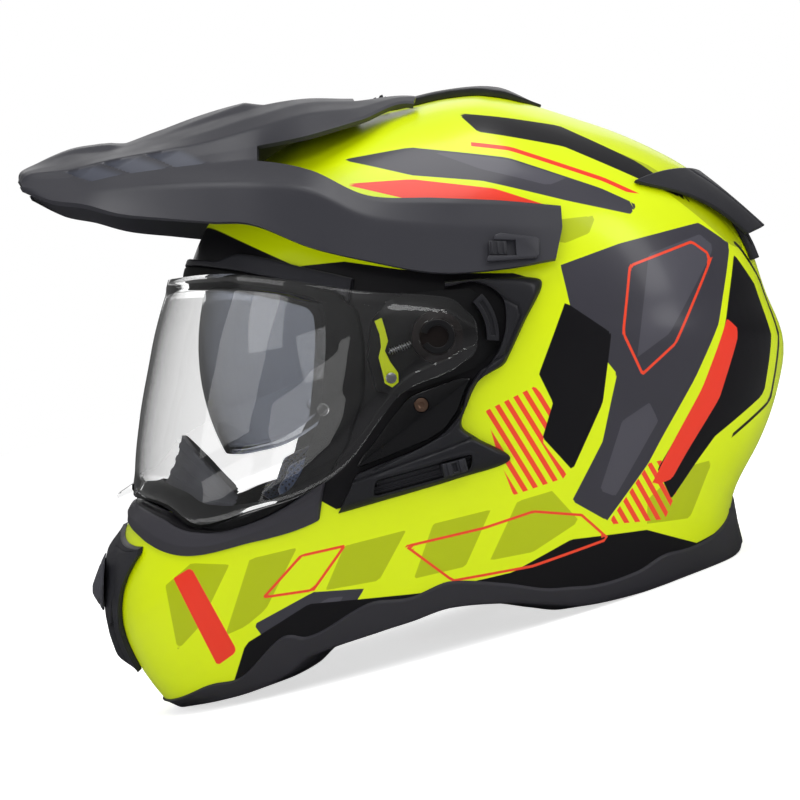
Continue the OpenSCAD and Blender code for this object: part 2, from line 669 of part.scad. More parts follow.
// Side pods: a raised black moulding behind and below each pivot, given by its
// outer and its inner edge in the side view
pod_outer = [[4, 27], [24, 28.5], [45.5, 29], [51.5, 25], [43, 7.5], [35.6, -8.5],
    [32, -14], [21, -21], [15, -33], [12.5, -43], [20, -49], [36, -59.5],
    [10, -69], [-26.8, -80], [-47, -86]];
pod_inner = [[4, 24], [19, 26.5], [31, 20], [33.5, 9], [31.5, -3], [26, -13],
    [21, -17], [15, -26], [12, -36], [7, -43], [3, -47], [-1, -50],
    [-10, -55], [-26, -61.5], [-38.5, -67]];
pod_top = 7.5;
module pod_blank() {
    n = 24;
    m = 4;
    share = [0, 0.12, 0.3, 0.8, 1];
    rise = [1.2, 4.2, pod_top - 1, pod_top, pod_top - 0.5];
    grid = function (flat) [for (i = [0:n]) let (t = i * 14 / n,
            p = rail_at(pod_outer, t), q = rail_at(pod_inner, t))
        [for (j = [0:m]) let (x = lerp(p[1], q[1], share[j]), z = lerp(p[2], q[2], share[j]))
            [x, -side_y(x, z, flat ? seat_gap : rise[j]), z]]];
    sheet(grid(true), grid(false));
}
slot_from = [-30, -73.5];
slot_to = [17, -60.5];
slot_dir = unit(slot_to - slot_from);
slot_tilt = atan2(slot_dir[1], slot_dir[0]);
slot_h = 7.5;
module slot_prism(grow, y_in, y_out) {
    flank_prism([for (c = [[slot_from, -1, -1], [slot_to, 1, -1], [slot_to, 1, 1], [slot_from, -1, 1]])
        c[0] + slot_dir * (c[1] * grow + (c[2] > 0 ? 1.5 : -1.5))
        + [-slot_dir[1], slot_dir[0]] * c[2] * (slot_h / 2 + grow)], y_in, y_out);
}
module side_pod_left() {
    color([0.13, 0.13, 0.14]) difference() {
        pod_blank();
        slot_prism(0, wide(110), wide(140));
    }
}
module side_pod_right() {
    color([0.13, 0.13, 0.14]) mirror([0, 1, 0]) pod_blank();
}
module slider_track() {
    n = 10;
    grid = function (off) [for (i = [0:n]) [for (j = [0:1])
        let (side = 1 - 2 * j,
             p = lerp(slot_from, slot_to, lerp(0.01, 0.99, i / n)) + slot_dir * side * 1.5
                 + [-slot_dir[1], slot_dir[0]] * side * (slot_h / 2 - seat_gap))
        [p[0], -side_y(p[0], p[1], off), p[1]]]];
    color([0.05, 0.05, 0.06]) sheet(grid(seat_gap), grid(2.2));
}
knob_at = [8, -63.2];
module sun_visor_slider() {
    y = side_y(knob_at[0], knob_at[1], 4);
    color([0.1, 0.1, 0.11]) translate([knob_at[0], -y, knob_at[1]])
        rotate([0, -slot_tilt, 8.5]) difference() {
            union() {
                translate([-6, -5.5, -3.2]) cube([12, 5.5, 6.4]);
                translate([-4, -7, -3.2]) cube([2, 2, 6.4]);
                translate([2, -7, -3.2]) cube([2, 2, 6.4]);
            }
            translate([-1, -6, -2]) cube([2, 2, 4]);
        }
}

cover_outline = [[17.2, -19.5], [14, -26], [10.4, -36], [4, -45], [-4, -50],
    [-16, -55], [-30, -60.8], [-39, -64], [-36, -58], [-30, -51], [-22, -39.5],
    [-14, -29.5], [-7, -26.2], [2, -23], [10, -20]];
cover_screw = [-7.4, -33];
cover_top = side_y(cover_screw[0], cover_screw[1], 6.2);
module side_cover_left() {
    color([0.08, 0.08, 0.09]) difference() {
        flank_pad(cover_outline, [-6, -38], 2, seat_gap,
            function (x, z, r) side_y(x, z, 6.4 - 1.2 * r * r));
        flank_bar(cover_screw, screw_head_r + run_gap, cover_top - 2.2, cover_top + 4);
    }
}
module side_cover_right() { mirror([0, 1, 0]) side_cover_left(); }
module cover_screw_left() {
    difference() {
        flank_bar(cover_screw, screw_head_r, cover_top - 2.2, cover_top - 0.4);
        flank_prism(circle_outline(cover_screw, 1.4, 6), cover_top - 1.4, cover_top);
    }
}
module cover_screws() {
    color([0.55, 0.42, 0.34]) {
        cover_screw_left();
        mirror([0, 1, 0]) cover_screw_left();
    }
}

// Visors

// Front outline of the clear visor: angle about its hinge and radius
visor_outline = [[-60, 232], [-45, 209], [-38, 190], [-33, 177.5], [-28.3, 169.7],
    [-22.7, 161.5], [-16, 152.8], [-6.8, 143.7], [2, 138.5], [9.5, 135.4],
    [13, 134.8], [40, 134.5], [90, 134.5], [180, 134.5], [270, 160], [300, 232]];
function visor_r(a) = along(visor_outline, a < -60 ? a + 360 : a)[1];
function visor_surf(d, off) =
    let (q = pow(norm([d.x, d.z]) / (visor_r(atan2(d.z, -d.x)) + off), 2)
             + pow(d.y / (visor_half_w + off), 2))
    d / sqrt(q);
// Upper and lower edge from the middle to the ear: x, half width, z
visor_top = [[-131, 0, 30.5], [-127, 36, 31], [-117, 64, 32], [-99, 87, 31.5],
    [-75, 106, 28], [-50, 119, 23.5], [-28, 127, 20.5], [-9, 132, 20], [7, 134, 18],
    [15.5, 134, 10.5]];
visor_low = [[-150, 0, -80], [-147, 40, -84], [-139, 68, -90], [-121, 90, -98],
    [-92, 109, -87], [-64, 120, -76], [-42, 126, -60], [-18, 131, -28], [5, 134, -17],
    [15.5, 134, -10]];
// Blade at the middle of the lower edge by which the visor is lifted
finger_tab = [[-148.4, -74], [-158.4, -80.6], [-158.2, -82.4], [-148.4, -78.6]];
module visor_shield() {
    n = 16;
    m = 6;
    edge = function (rail, s) let (p = rail_at(rail, 9 * abs(s)))
        [p[1], (s < 0 ? 1 : -1) * wide(p[2]), p[3]];
    grid = function (off) [for (i = [-n:n]) let (s = i / n,
            a = unit(edge(visor_top, s)), b = unit(edge(visor_low, s)))
        [for (j = [0:m]) visor_surf(arc_between(a, b, 1 - j / m), off)]];
    color([0.75, 0.8, 0.85, 0.35]) difference() {
        union() {
            sheet(grid(0), grid(-visor_t));
            rotate([90, 0, 0]) linear_extrude(28, center = true) polygon(finger_tab);
        }
        rotate([90, 0, 0]) cylinder(r = hub_r + run_gap, h = 3 * visor_half_w, center = true, $fn = 48);
    }
}
// Pins inside the visor for an inner lens, one at each side
pin_at = [-52.5, -34];
module visor_pins() {
    color([0.6, 0.62, 0.65]) for (s = [-1, 1]) {
        p = visor_surf([pin_at[0], s * 118, pin_at[1]], -visor_t);
        n = unit([p.x / pow(visor_r(atan2(p.z, -p.x)), 2), p.y / pow(visor_half_w, 2),
                  p.z / pow(visor_r(atan2(p.z, -p.x)), 2)]);
        translate(p - 2 * seat_gap * n) rotate([0, acos(n.z), atan2(n.y, n.x)])
            translate([0, 0, -3]) cylinder(r = 3, h = 3, $fn = 40);
    }
}

function sun_surf(d, off) =
    let (r = sun_r + off - 0.05 * atan2(d.z, -d.x) * bulge(d.y / norm(d), 2),
         q = pow(norm([d.x, d.z]) / r, 2.2)
             + pow(abs(d.y) / (shell_half_w - sun_inset + off), 2.2))
    d * pow(q, -1 / 2.2);
sun_top = [[-109, 0, 37], [-103, 34, 37], [-89, 64, 36], [-71, 84, 33],
    [-50, 98, 26], [-28, 106, 12], [-10, 109, 9], [8, 109, 7]];
sun_low = [[-101, 0, -58], [-98, 30, -59], [-86, 58, -57], [-70, 78, -52],
    [-53, 93, -40], [-28, 106, -12], [-10, 109, -9], [8, 109, -7]];
sun_pin_r = 3.5;
sun_pin_end = side_y(-sun_pin_r - 3, 0, -shell_t) - seat_gap;
module sun_visor() {
    n = 12;
    m = 5;
    edge = function (rail, s) let (p = rail_at(rail, 7 * abs(s)))
        [p[1], (s < 0 ? 1 : -1) * wide(p[2]), p[3]];
    grid = function (off) [for (i = [-n:n]) let (s = i / n,
            a = unit(edge(sun_top, s)), b = unit(edge(sun_low, s)))
        [for (j = [0:m]) sun_surf(arc_between(a, b, 1 - j / m), off)]];
    color([0.2, 0.2, 0.22, 0.7]) difference() {
        sheet(grid(0), grid(-sun_t));
        rotate([90, 0, 0]) cylinder(r = sun_pin_r + run_gap, h = 3 * shell_half_w, center = true, $fn = 32);
    }
}
module sun_visor_pins() {
    color([0.5, 0.5, 0.52]) for (s = [-1, 1]) mirror([0, s < 0 ? 0 : 1, 0]) {
        flank_bar([0, 0], sun_pin_r, shell_half_w - sun_inset - 3, sun_pin_end);
        flank_bar([0, 0], sun_pin_r + 3, shell_half_w - sun_inset + 1, sun_pin_end);
    }
}

// Peak: rails from the middle out to the lower edge, each through the same
// stations from the tip to the rear ends of the arms, as x, half width, z
peak_rails = [
    [[-210, 0, 82], [-207, 0, 88.5], [-184, 0, 98], [-160, 0, 101], [-135, 0, 110],
     [-112, 0, 117], [-88, 0, 122], [-62, 0, 125.5], [-36, 0, 125.5], [-4, 0, 124],
     [32, 0, 118], [62, 0, 110]],
    [[-209, 12, 82], [-206, 12, 88], [-184, 13, 96], [-160, 14, 98.5], [-135, 15, 106],
     [-112, 16, 113], [-88, 20, 120], [-62, 22, 124.5], [-36, 21, 124.8],
     [-4, 20, 126], [32, 19, 118], [62, 19, 110]],
    [[-207.5, 28, 81], [-203, 28, 86], [-183, 30, 90], [-160, 32, 94.5],
     [-135, 34, 99.5], [-112, 36, 106], [-88, 38, 113.5], [-62, 41, 120.5],
     [-36, 38, 122], [-4, 29, 125.5], [32, 30, 115], [62, 30, 107]],
    [[-206.5, 34, 80], [-201, 36, 84], [-181, 42, 86], [-160, 45, 91],
     [-135, 47, 95.5], [-112, 49, 99.5], [-88, 52, 106], [-62, 60, 113],
     [-36, 54, 117], [-4, 37, 124.3], [32, 40, 110], [62, 40, 100]],
    [[-206, 36, 79], [-200, 39, 81], [-179, 48, 81.5], [-158, 52, 86.5],
     [-133, 54, 90.5], [-110, 56, 93], [-86, 60, 97], [-62, 77, 101],
     [-34, 68, 110.5], [-6, 45, 121], [32, 60, 100], [62, 60, 90]],
    [[-205.5, 38, 78], [-199, 43, 78.5], [-177, 55, 77.5], [-156, 60, 81.5],
     [-131, 62, 85], [-110, 63, 87.5], [-86, 68, 89], [-60, 99.5, 82],
     [-33, 120, 68], [0, 124, 66.5], [32, 120, 66], [62, 114.5, 64]],
    [[-205.5, 39, 77.5], [-198, 47, 76], [-175, 62, 73.5], [-154, 70, 74.5],
     [-129, 79, 76], [-108, 86, 76.5], [-86, 95, 76], [-60, 113.5, 71.5],
     [-33, 127, 58], [0, 130.5, 53.5], [32, 126.5, 53.5], [62, 120.5, 53.5]],
    [[-206.5, 37.5, 77], [-190, 60, 69.5], [-172, 73, 66.5], [-154, 80, 61.5],
     [-131, 87, 59], [-109, 94, 57], [-89, 102.5, 55.5], [-62, 120, 43.8],
     [-33, 132, 36.5], [0, 135.5, 30.8], [32, 132.5, 33], [58, 128.5, 38]]];
peak_steps = 3;
function scoop(t, rail) =
    rail != 4 ? 0 : let (s = t - 2.15)
    s < 0 || s > 2.7 ? 0 : scoop_depth * ease(((s % 0.9) / 0.9) * 2.4) * (1 - ease((s % 0.9) / 0.9 * 4 - 2.8));
module peak() {
    n = 11 * peak_steps;
    rails = len(peak_rails);
    point = function (q, t) let (k = abs(q), p = rail_at(peak_rails[k], t))
        [p[1], (q < 0 ? 1 : -1) * wide(p[2]), p[3] - scoop(t, k)];
    skin = [for (i = [0:n]) [for (q = [rails - 1:-1:1 - rails]) point(q, i / peak_steps)]];
    // Cell between rails k - 1 and k: the side windows start at station 6, the
    // deck's prongs end at station 9 and its bridge at station 8
    keep = function (i, j)
        let (k = j < rails - 1 ? rails - 1 - j : j - rails + 2, t = i / peak_steps)
        k == 5 ? t < 6 : k >= 6 ? true : k >= 3 ? t < 9 : t < 8;
    color([0.25, 0.25, 0.28]) sheet(skin, sunk(skin, peak_t), keep = keep);
}

mount_at = [34, 44];
arm_y = 129.7;
// The arm's inner face near the mount leans in upwards and to the rear
function arm_in(x, z) =
    wide(arm_y) - peak_t - 1.1 - 0.29 * (z - mount_at[1]) - 0.17 * (x - mount_at[0]);
module peak_mount_left() {
    color([0.12, 0.12, 0.13])
        flank_pad(circle_outline(mount_at, 8, 20), mount_at, 1, seat_gap,
            function (x, z, r) arm_in(x, z) - seat_gap);
}
module peak_mount_right() { mirror([0, 1, 0]) peak_mount_left(); }

latch_outline = [[-13, -8.5], [-8, 5], [-5, 6], [12, 4.2], [14, 3], [13.4, -5], [12, -6.5]];
module on_arm() {
    translate([36, -wide(arm_y) - seat_gap, 44]) rotate([-16, 0, 9]) children();
}
module latch_cover_left() {
    color([0.16, 0.16, 0.18]) on_arm() difference() {
        rotate([90, 0, 0]) linear_extrude(1.8) polygon(latch_outline);
        translate([-12, -3, -5.5]) cube([10 + latch_travel, 4, 8]);
    }
}
module latch_cover_right() { mirror([0, 1, 0]) latch_cover_left(); }
module peak_latch_left() {
    color([0.04, 0.04, 0.05]) on_arm() {
        translate([-11.5, -1.4, -5]) cube([9, 1.4, 7]);
        for (k = [0:2])
            translate([-10.5 + 3 * k, -2.2, -4.5]) cube([1, 1.2, 6]);
    }
}
module peak_latch_right() { mirror([0, 1, 0]) peak_latch_left(); }

// Chin strap, buckled across the neck opening

strap_route = [[40, 88, -84], [40, 84, -102], [38, 74, -117], [32, 60, -127],
    [19, 42, -132], [6, 26, -134], [-2.6, 13, -134.2], [-2.6, 3, -134.2]];
module strap(points, half) {
    n = len(points) - 1;
    tangent = [for (i = [0:n]) unit(points[min(n, i + 1)] - points[max(0, i - 1)])];
    across = [for (i = [0:n]) unit([1, 0, 0.25] - tangent[i] * ([1, 0, 0.25] * tangent[i]))];
    rows = function (t) [for (i = [0:n]) let (nrm = cross(tangent[i], across[i]))
        [for (s = [-1, 1]) points[i] + across[i] * (s * half) + nrm * t]];
    sheet(rows(strap_t / 2), rows(-strap_t / 2));
}
module chin_strap_right() {
    color([0.06, 0.06, 0.07]) strap([for (p = strap_route) [p.x, wide(p.y), p.z]], strap_w / 2);
}
module chin_strap_left() { mirror([0, 1, 0]) chin_strap_right(); }
rivet_at = [40, -93];
rivet_y = wide(lerp(strap_route[0].y, strap_route[1].y, 0.5)) + strap_t / 2 + 1.4;
module strap_rivets() {
    color([0.7, 0.7, 0.72]) for (s = [0, 1]) mirror([0, s, 0])
        flank_bar(rivet_at, 5, rivet_y, rivet_y + 5.1);
}
buckle_at = [-2, 0, -136.5];
// The lever turns on the round barrel along its end
lever_t = 3;
lever_axis = [-8.5, -1 - seat_gap - lever_t / 2];
module buckle_body() {
    color([0.13, 0.13, 0.14]) translate(buckle_at) rotate([0, -14, 0]) difference() {
        translate([-17, -13, -1]) cube([34, 26, 6.4]);
        translate([-14.4, -14, 0.9]) cube([28.8, 28, 3]);
    }
}
module buckle_lever() {
    color([0.75, 0.1, 0.08]) translate(buckle_at) rotate([0, -14, 0])
        translate([0, lever_axis[0], lever_axis[1]]) {
            rotate([0, 90, 0]) cylinder(r = lever_t / 2, h = 20, center = true, $fn = 32);
            translate([-10, 0, -lever_t / 2]) cube([20, 22.5, lever_t]);
        }
}

placed() outer_shell();
placed() base_trim();
placed() eyeport_gasket();
placed() brow_strip();
placed() lower_cover();
placed() eps_liner();
placed() chin_eps();
placed() crown_pad();
placed() cheek_pad_left();
placed() cheek_pad_right();
placed() neck_roll();
placed() chin_curtain();
placed() breath_deflector();
placed() chin_vent_frame();
placed() chin_vent_shutter();
placed() crown_vent_housing();
placed() crown_vent_slider();
placed() rear_spoiler();
placed() rear_outlet_grille();
placed() pivot_base_left();
placed() pivot_base_right();
placed() pivot_hub_left();
placed() pivot_hub_right();
placed() detent_lever_left();
placed() detent_lever_right();
placed() detent_spring_left();
placed() detent_spring_right();
placed() detent_pins();
placed() release_lever_left();
placed() release_lever_right();
placed() side_pod_left();
placed() side_pod_right();
placed() side_cover_left();
placed() side_cover_right();
placed() cover_screws();
placed() slider_track();
placed() sun_visor_slider();
placed() sun_visor();
placed() sun_visor_pins();
placed() visor_shield();
placed() visor_pins();
placed() peak();
placed() peak_mount_left();
placed() peak_mount_right();
placed() latch_cover_left();
placed() latch_cover_right();
placed() peak_latch_left();
placed() peak_latch_right();
placed() chin_strap_left();
placed() chin_strap_right();
placed() strap_rivets();
placed() buckle_body();
placed() buckle_lever();
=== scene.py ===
"""Looks of an enduro helmet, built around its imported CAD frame.

Surfaces are worked out in the worn frame, in millimetres: face towards -X, the
wearer's left towards -Y, up +Z, origin on the visor hinge.  Stance.rest() turns
such points into the frame in which the helmet stands, in metres.
"""

import json
import logging
import math
from dataclasses import dataclass, field
from enum import Enum
from typing import Callable, Optional, Sequence, Union

import bmesh
import bpy
import numpy as np
from mathutils import Matrix, Vector

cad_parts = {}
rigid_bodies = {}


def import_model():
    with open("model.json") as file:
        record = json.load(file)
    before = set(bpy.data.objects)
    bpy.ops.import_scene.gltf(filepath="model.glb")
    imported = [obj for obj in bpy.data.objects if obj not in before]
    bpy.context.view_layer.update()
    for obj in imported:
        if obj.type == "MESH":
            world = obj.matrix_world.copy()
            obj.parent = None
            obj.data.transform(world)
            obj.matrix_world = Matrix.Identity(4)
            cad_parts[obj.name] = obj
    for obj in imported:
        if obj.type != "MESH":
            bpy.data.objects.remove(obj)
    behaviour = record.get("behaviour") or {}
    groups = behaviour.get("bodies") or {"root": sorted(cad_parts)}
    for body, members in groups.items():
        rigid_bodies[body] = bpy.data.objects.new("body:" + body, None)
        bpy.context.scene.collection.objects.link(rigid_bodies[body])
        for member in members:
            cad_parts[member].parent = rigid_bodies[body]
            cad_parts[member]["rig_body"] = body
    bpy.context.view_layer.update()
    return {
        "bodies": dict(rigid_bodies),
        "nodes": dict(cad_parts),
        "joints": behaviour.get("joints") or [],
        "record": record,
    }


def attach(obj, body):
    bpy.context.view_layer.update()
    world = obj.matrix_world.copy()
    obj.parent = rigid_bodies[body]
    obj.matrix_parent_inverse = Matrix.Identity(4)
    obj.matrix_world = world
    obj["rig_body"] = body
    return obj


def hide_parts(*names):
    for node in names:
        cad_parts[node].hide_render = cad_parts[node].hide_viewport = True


log = logging.getLogger("helmet")
Points = np.ndarray
Tree = bpy.types.NodeTree
Node = bpy.types.Node
Socket = bpy.types.NodeSocket
Object = bpy.types.Object
Material = bpy.types.Material
Value = Union[float, Sequence[float], Socket, Node]
MM = 0.001


class Side(Enum):
    """A side of the helmet, by the sign of Y in the worn frame."""

    LEFT = -1
    RIGHT = 1

    @property
    def label(self) -> str:
        """The side's name as it stands in node names."""
        return self.name.lower()

    def place(self, left: "Points") -> "Points":
        """Points made for the left flank, put on this side."""
        return left * np.array([1.0, -float(self.value), 1.0])


# Numbers and curves


def ease(t: Points) -> Points:
    """Smooth step: 0 below 0, 1 above 1, and 3t^2 - 2t^3 between."""
    s = np.clip(t, 0, 1)
    return s * s * (3 - 2 * s)


def lerp(a: Points, b: Points, t: Points) -> Points:
    """The point a share t of the way from a to b."""
    return a + (b - a) * t


def unit(v: Points) -> Points:
    """Vectors scaled to length 1."""
    return v / np.maximum(np.linalg.norm(v, axis=-1, keepdims=True), 1e-12)


def norm(v: Points) -> Points:
    """Length of each vector."""
    return np.linalg.norm(v, axis=-1)


def run_along(points: Points) -> Points:
    """How far along a chain of points each one lies."""
    return np.append(0, np.cumsum(norm(np.diff(points, axis=0))))


def side_angle(d: Points) -> Points:
    """Angle of directions in the side view: 0 to the front and 90 up."""
    return np.degrees(np.arctan2(d[..., 2], -d[..., 0]))


def hump(x: Points, half: float) -> Points:
    """A rounded ridge along x = 0: 1 on it and next to nothing at twice its half width."""
    return np.exp(-((x / half) ** 2))


def bulge(share: Points, power: float) -> Points:
    """Height of a superellipse at a share of its half width: (1 - |s|^n)^(1/n)."""
    s = np.minimum(1, np.abs(share))
    return np.maximum(0, 1 - s**power) ** (1 / power)


def along(rows: Sequence[Sequence[float]], t: Points) -> Points:
    """Cubic Hermite curve through table rows whose first column rises.

    Args:
        rows: the table; each row's slope is the chord of its neighbours.
        t: places on the first column, of any shape.

    Returns:
        The row values at t, with the columns as last axis.
    """
    table = np.asarray(rows, float)
    place = np.asarray(t, float)
    flat = place.ravel()
    last = len(table) - 2
    k = np.clip(np.searchsorted(table[:, 0], flat, side="right") - 1, 0, last)
    before = np.maximum(0, np.arange(last + 2) - 1)
    after = np.minimum(last + 1, np.arange(last + 2) + 1)
    slope = (table[after] - table[before]) / (table[after, :1] - table[before, :1])
    h = (table[k + 1, 0] - table[k, 0])[:, None]
    s = (flat[:, None] - table[k, :1]) / h
    s2 = s * s
    s3 = s2 * s
    value = (
        (2 * s3 - 3 * s2 + 1) * table[k]
        + (s3 - 2 * s2 + s) * h * slope[k]
        + (3 * s2 - 2 * s3) * table[k + 1]
        + (s3 - s2) * h * slope[k + 1]
    )
    return value.reshape(place.shape + (table.shape[1],))


def rail(points: Sequence[Sequence[float]], t: Points) -> Points:
    """The same curve through points that lie one unit of t apart.

    Args:
        points: the points that it passes.
        t: places along it, in points.

    Returns:
        The points on the curve.
    """
    table = np.asarray(points, float)
    index = np.arange(len(table))[:, None]
    return along(np.hstack([index, table]), t)[..., 1:]


def grid(rows: Points, columns: Points) -> tuple[Points, Points]:
    """Every row value with every column value, as two arrays of rows by columns."""
    return tuple(np.meshgrid(rows, columns, indexing="ij"))


def arc_between(a: Points, b: Points, t: Points) -> Points:
    """Direction a share t of the way from a to b along their great circle.

    Args:
        a: directions at the start.
        b: directions at the end.
        t: shares of the way.

    Returns:
        The directions.
    """
    p, q = unit(a), unit(b)
    w = np.arccos(np.clip((p * q).sum(-1), -1, 1))[..., None]
    return (np.sin((1 - t) * w) * p + np.sin(t * w) * q) / np.sin(w)


def line_distance(points: Points, corners: Sequence[Sequence[float]]) -> Points:
    """Distance from points to an open chain of straight stretches.

    Args:
        points: the places, last axis 3 or 2.
        corners: the corners in order.

    Returns:
        The distance of each point.
    """
    shape = np.asarray(corners, float)
    least = np.full(points.shape[:-1], np.inf)
    for a, b in zip(shape[:-1], shape[1:]):
        t = np.clip(((points - a) @ (b - a)) / ((b - a) @ (b - a)), 0, 1)
        least = np.minimum(least, norm(points - a - t[..., None] * (b - a)))
    return least


def edge_distance(points: Points, corners: Sequence[Sequence[float]]) -> Points:
    """Signed distance from points to a polygon's edge, positive inside.

    Args:
        points: places in the plane, last axis 2.
        corners: the polygon's corners in order.

    Returns:
        The least distance to any side, with the sign of the crossing test.
    """
    loop = np.vstack([corners, corners[:1]]).astype(float)
    least = line_distance(points, loop)
    x, y = points[..., 0], points[..., 1]
    inside = np.zeros(x.shape, bool)
    for a, b in zip(loop[:-1], loop[1:]):
        rise = b[1] - a[1] if abs(b[1] - a[1]) > 1e-9 else 1e-9
        spans = (a[1] <= y) != (b[1] <= y)
        inside ^= spans & (x < a[0] + (b[0] - a[0]) * (y - a[1]) / rise)
    return np.where(inside, least, -least)


def ends_close(start: float, stop: float, count: int) -> Points:
    """Values from start to stop that lie closer together towards both ends."""
    return start + (stop - start) * (0.5 - 0.5 * np.cos(math.pi * np.arange(count + 1) / count))


# The helmet's own surfaces


@dataclass(frozen=True)
class Stance:
    """How the helmet stands: tipped back onto its rim."""

    tilt: float = math.radians(16.0)
    front_reach: float = 198.8
    rear_reach: float = 189.7
    foot: tuple[float, float] = (-125.0, -193.0)

    def rest(self, worn: Points) -> Points:
        """Worn millimetres turned into metres of the frame it stands in.

        Args:
            worn: points in the worn position, in millimetres.

        Returns:
            Points of the frame, in metres.
        """
        p = np.asarray(worn, float)
        c, s = math.cos(self.tilt), math.sin(self.tilt)
        x = p[..., 0] * c + p[..., 2] * s + (self.front_reach - self.rear_reach) / 2
        z = p[..., 2] * c - p[..., 0] * s + self.foot[0] * s - self.foot[1] * c
        return np.stack([x, p[..., 1], z], -1) * MM

    def turn(self, direction: Sequence[float]) -> Vector:
        """A direction of the worn frame, as the standing helmet has it."""
        both = self.rest(np.array([direction, (0, 0, 0)], float))
        return Vector(both[0] - both[1]).normalized()

    def ground(self, x: Points) -> Points:
        """Height of the floor under x in the worn frame."""
        return self.foot[1] + math.tan(self.tilt) * (x - self.foot[0])


@dataclass(frozen=True)
class ShellForm:
    """The shell's outer surface: a side outline, swelling sideways as a superellipse."""

    half_w: float = 126.0
    square: float = 2.2
    centre_x: float = 35.0
    outline: tuple = (
        (0, 168), (13.5, 160), (20, 158.5), (30, 154.6), (40, 148.6), (50, 141),
        (60, 134), (70, 128.6), (80, 127.8), (90, 127.6), (100, 125), (110, 124.3),
        (120, 127), (130, 131.8), (145, 141.5), (160, 146), (170, 148),
        (180, 155.5), (190, 154.5), (200, 152.5), (208, 151), (213, 153),
        (220, 163), (230, 180), (245, 210), (260, 238), (275, 252), (290, 258),
        (302, 257), (311, 252.5), (317, 248.5), (323, 240), (330, 222),
        (336, 200), (345, 184), (352, 175),
    )
    eye_edge: tuple = (
        (0, 13.5, 0), (30, 13.8, 0.357), (55, 14.2, 0.675), (75, 14.4, 0.845),
        (88, 12.5, 0.905), (97, 3, 0.928), (106, -12, 0.94), (114, -28, 0.943),
        (121, -36.5, 0.93), (130, -37.6, 0.885), (145, -35.2, 0.77),
        (152, -31.9, 0.66), (160, -28, 0.516), (170, -25.3, 0.28), (180, -24.3, 0),
    )
    rim_edge: tuple = (
        (0, 212, 0), (30, 219, 0.405), (55, 230.6, 0.698), (75, 240.5, 0.79),
        (88, 253, 0.858), (95, 259.5, 0.88), (105, 270, 0.902),
        (115, 283, 0.905), (121, 290, 0.882), (130, 297.5, 0.855),
        (145, 303.2, 0.77), (152, 306.5, 0.735), (160, 307.3, 0.603),
        (170, 310.3, 0.446), (180, 312.2, 0),
    )
    crown_dir: tuple = (0.2, 0, 1)
    flank_dir: tuple = (0.3, 1, -0.1)
    chin_dir: tuple = (-0.77, 0, -0.62)

    def radius_at(self, a: Points) -> Points:
        """Radius of the side outline at an angle, from samples two degrees apart.

        Args:
            a: angles in the side view, in degrees.

        Returns:
            The radii, in millimetres.
        """
        rows = np.asarray(self.outline, float)
        loop = np.vstack([rows[-1] - (360, 0), rows, rows[:2] + (360, 0)])
        fine = np.arange(0, 361, 2.0)
        return np.interp((np.asarray(a) + 720) % 360, fine, along(loop, fine)[:, 1])

    def direction(self, a: Points, share: Points) -> Points:
        """Direction from the head centre at an outline angle and a side share.

        Args:
            a: angles in the side view, in degrees.
            share: side shares, -1 to 1.

        Returns:
            The directions.
        """
        rho = self.radius_at(a) * bulge(share, self.square)
        w = np.radians(a)
        y = -np.asarray(share) * self.half_w
        return np.stack(np.broadcast_arrays(-rho * np.cos(w), y, rho * np.sin(w)), -1)

    def surface(self, d: Points, off: Points = 0.0) -> Points:
        """Point in direction d, off millimetres out from the shell.

        Args:
            d: directions from the head centre.
            off: millimetres outwards.

        Returns:
            The points.
        """
        a = side_angle(d)
        flat = np.hypot(d[..., 0], d[..., 2]) / (self.radius_at(a) + off)
        wide = np.abs(d[..., 1]) / (self.half_w + off)
        q = flat**self.square + wide**self.square
        return np.array([self.centre_x, 0, 0]) + d * (q ** (-1 / self.square))[..., None]

    def side_y(self, x: Points, z: Points, off: Points = 0.0) -> Points:
        """Half width of the shell at a point of the side view.

        Args:
            x: places along the side view.
            z: heights in it.
            off: millimetres outwards.

        Returns:
            The half widths.
        """
        a = np.degrees(np.arctan2(z, self.centre_x - x))
        share = np.hypot(x - self.centre_x, z) / (self.radius_at(a) + off)
        return (self.half_w + off) * bulge(share, self.square)

    def flank(self, x: Points, z: Points, off: Points = 0.0) -> Points:
        """Point of the left flank over a place of the side view."""
        return np.stack([x, -self.side_y(x, z, off), z], -1)

    def _loop(self, half: tuple) -> Points:
        """Both halves of an edge table, from -180 to 180 and a row beyond.

        Args:
            half: the rows of one side.

        Returns:
            The whole table.
        """
        rows = np.asarray(half, float)
        mirror = rows[:0:-1] * (-1, 1, -1)
        before = (rows[-2] - (360, 0, 0))[None]
        after = (rows[-2] * (-1, 1, -1) + (360, 0, 0))[None]
        return np.vstack([before, mirror, rows, after])

    def eye_dir(self, u: Points, shrink: float = 0.0) -> Points:
        """Direction of the eye port's edge at station u, drawn in by a share.

        Args:
            u: station angles round the eye port, in degrees.
            shrink: share that the edge is drawn in by.

        Returns:
            The directions.
        """
        row = along(self._loop(self.eye_edge), turned(u))
        angle = -11 + (row[..., 1] + 11) * (1 - shrink * 1.7)
        return self.direction(angle, row[..., 2] * (1 - shrink))

    def rim_dir(self, u: Points) -> Points:
        """Direction of the rim at station u."""
        row = along(self._loop(self.rim_edge), turned(u))
        return self.direction(row[..., 1], row[..., 2])

    def middle_dir(self, u: Points) -> Points:
        """Direction half way between the eye port and the rim at station u.

        Args:
            u: station angles round the eye port, in degrees.

        Returns:
            The directions.
        """
        t = turned(u)
        c, s = np.abs(np.cos(np.radians(t)))[..., None], np.sin(np.radians(t))[..., None]
        d = np.where((np.abs(t) < 90)[..., None], self.crown_dir, self.chin_dir)
        mid = c * d + np.abs(s) * np.array(self.flank_dir)
        mid[..., 1] = -s[..., 0]
        return unit(mid)

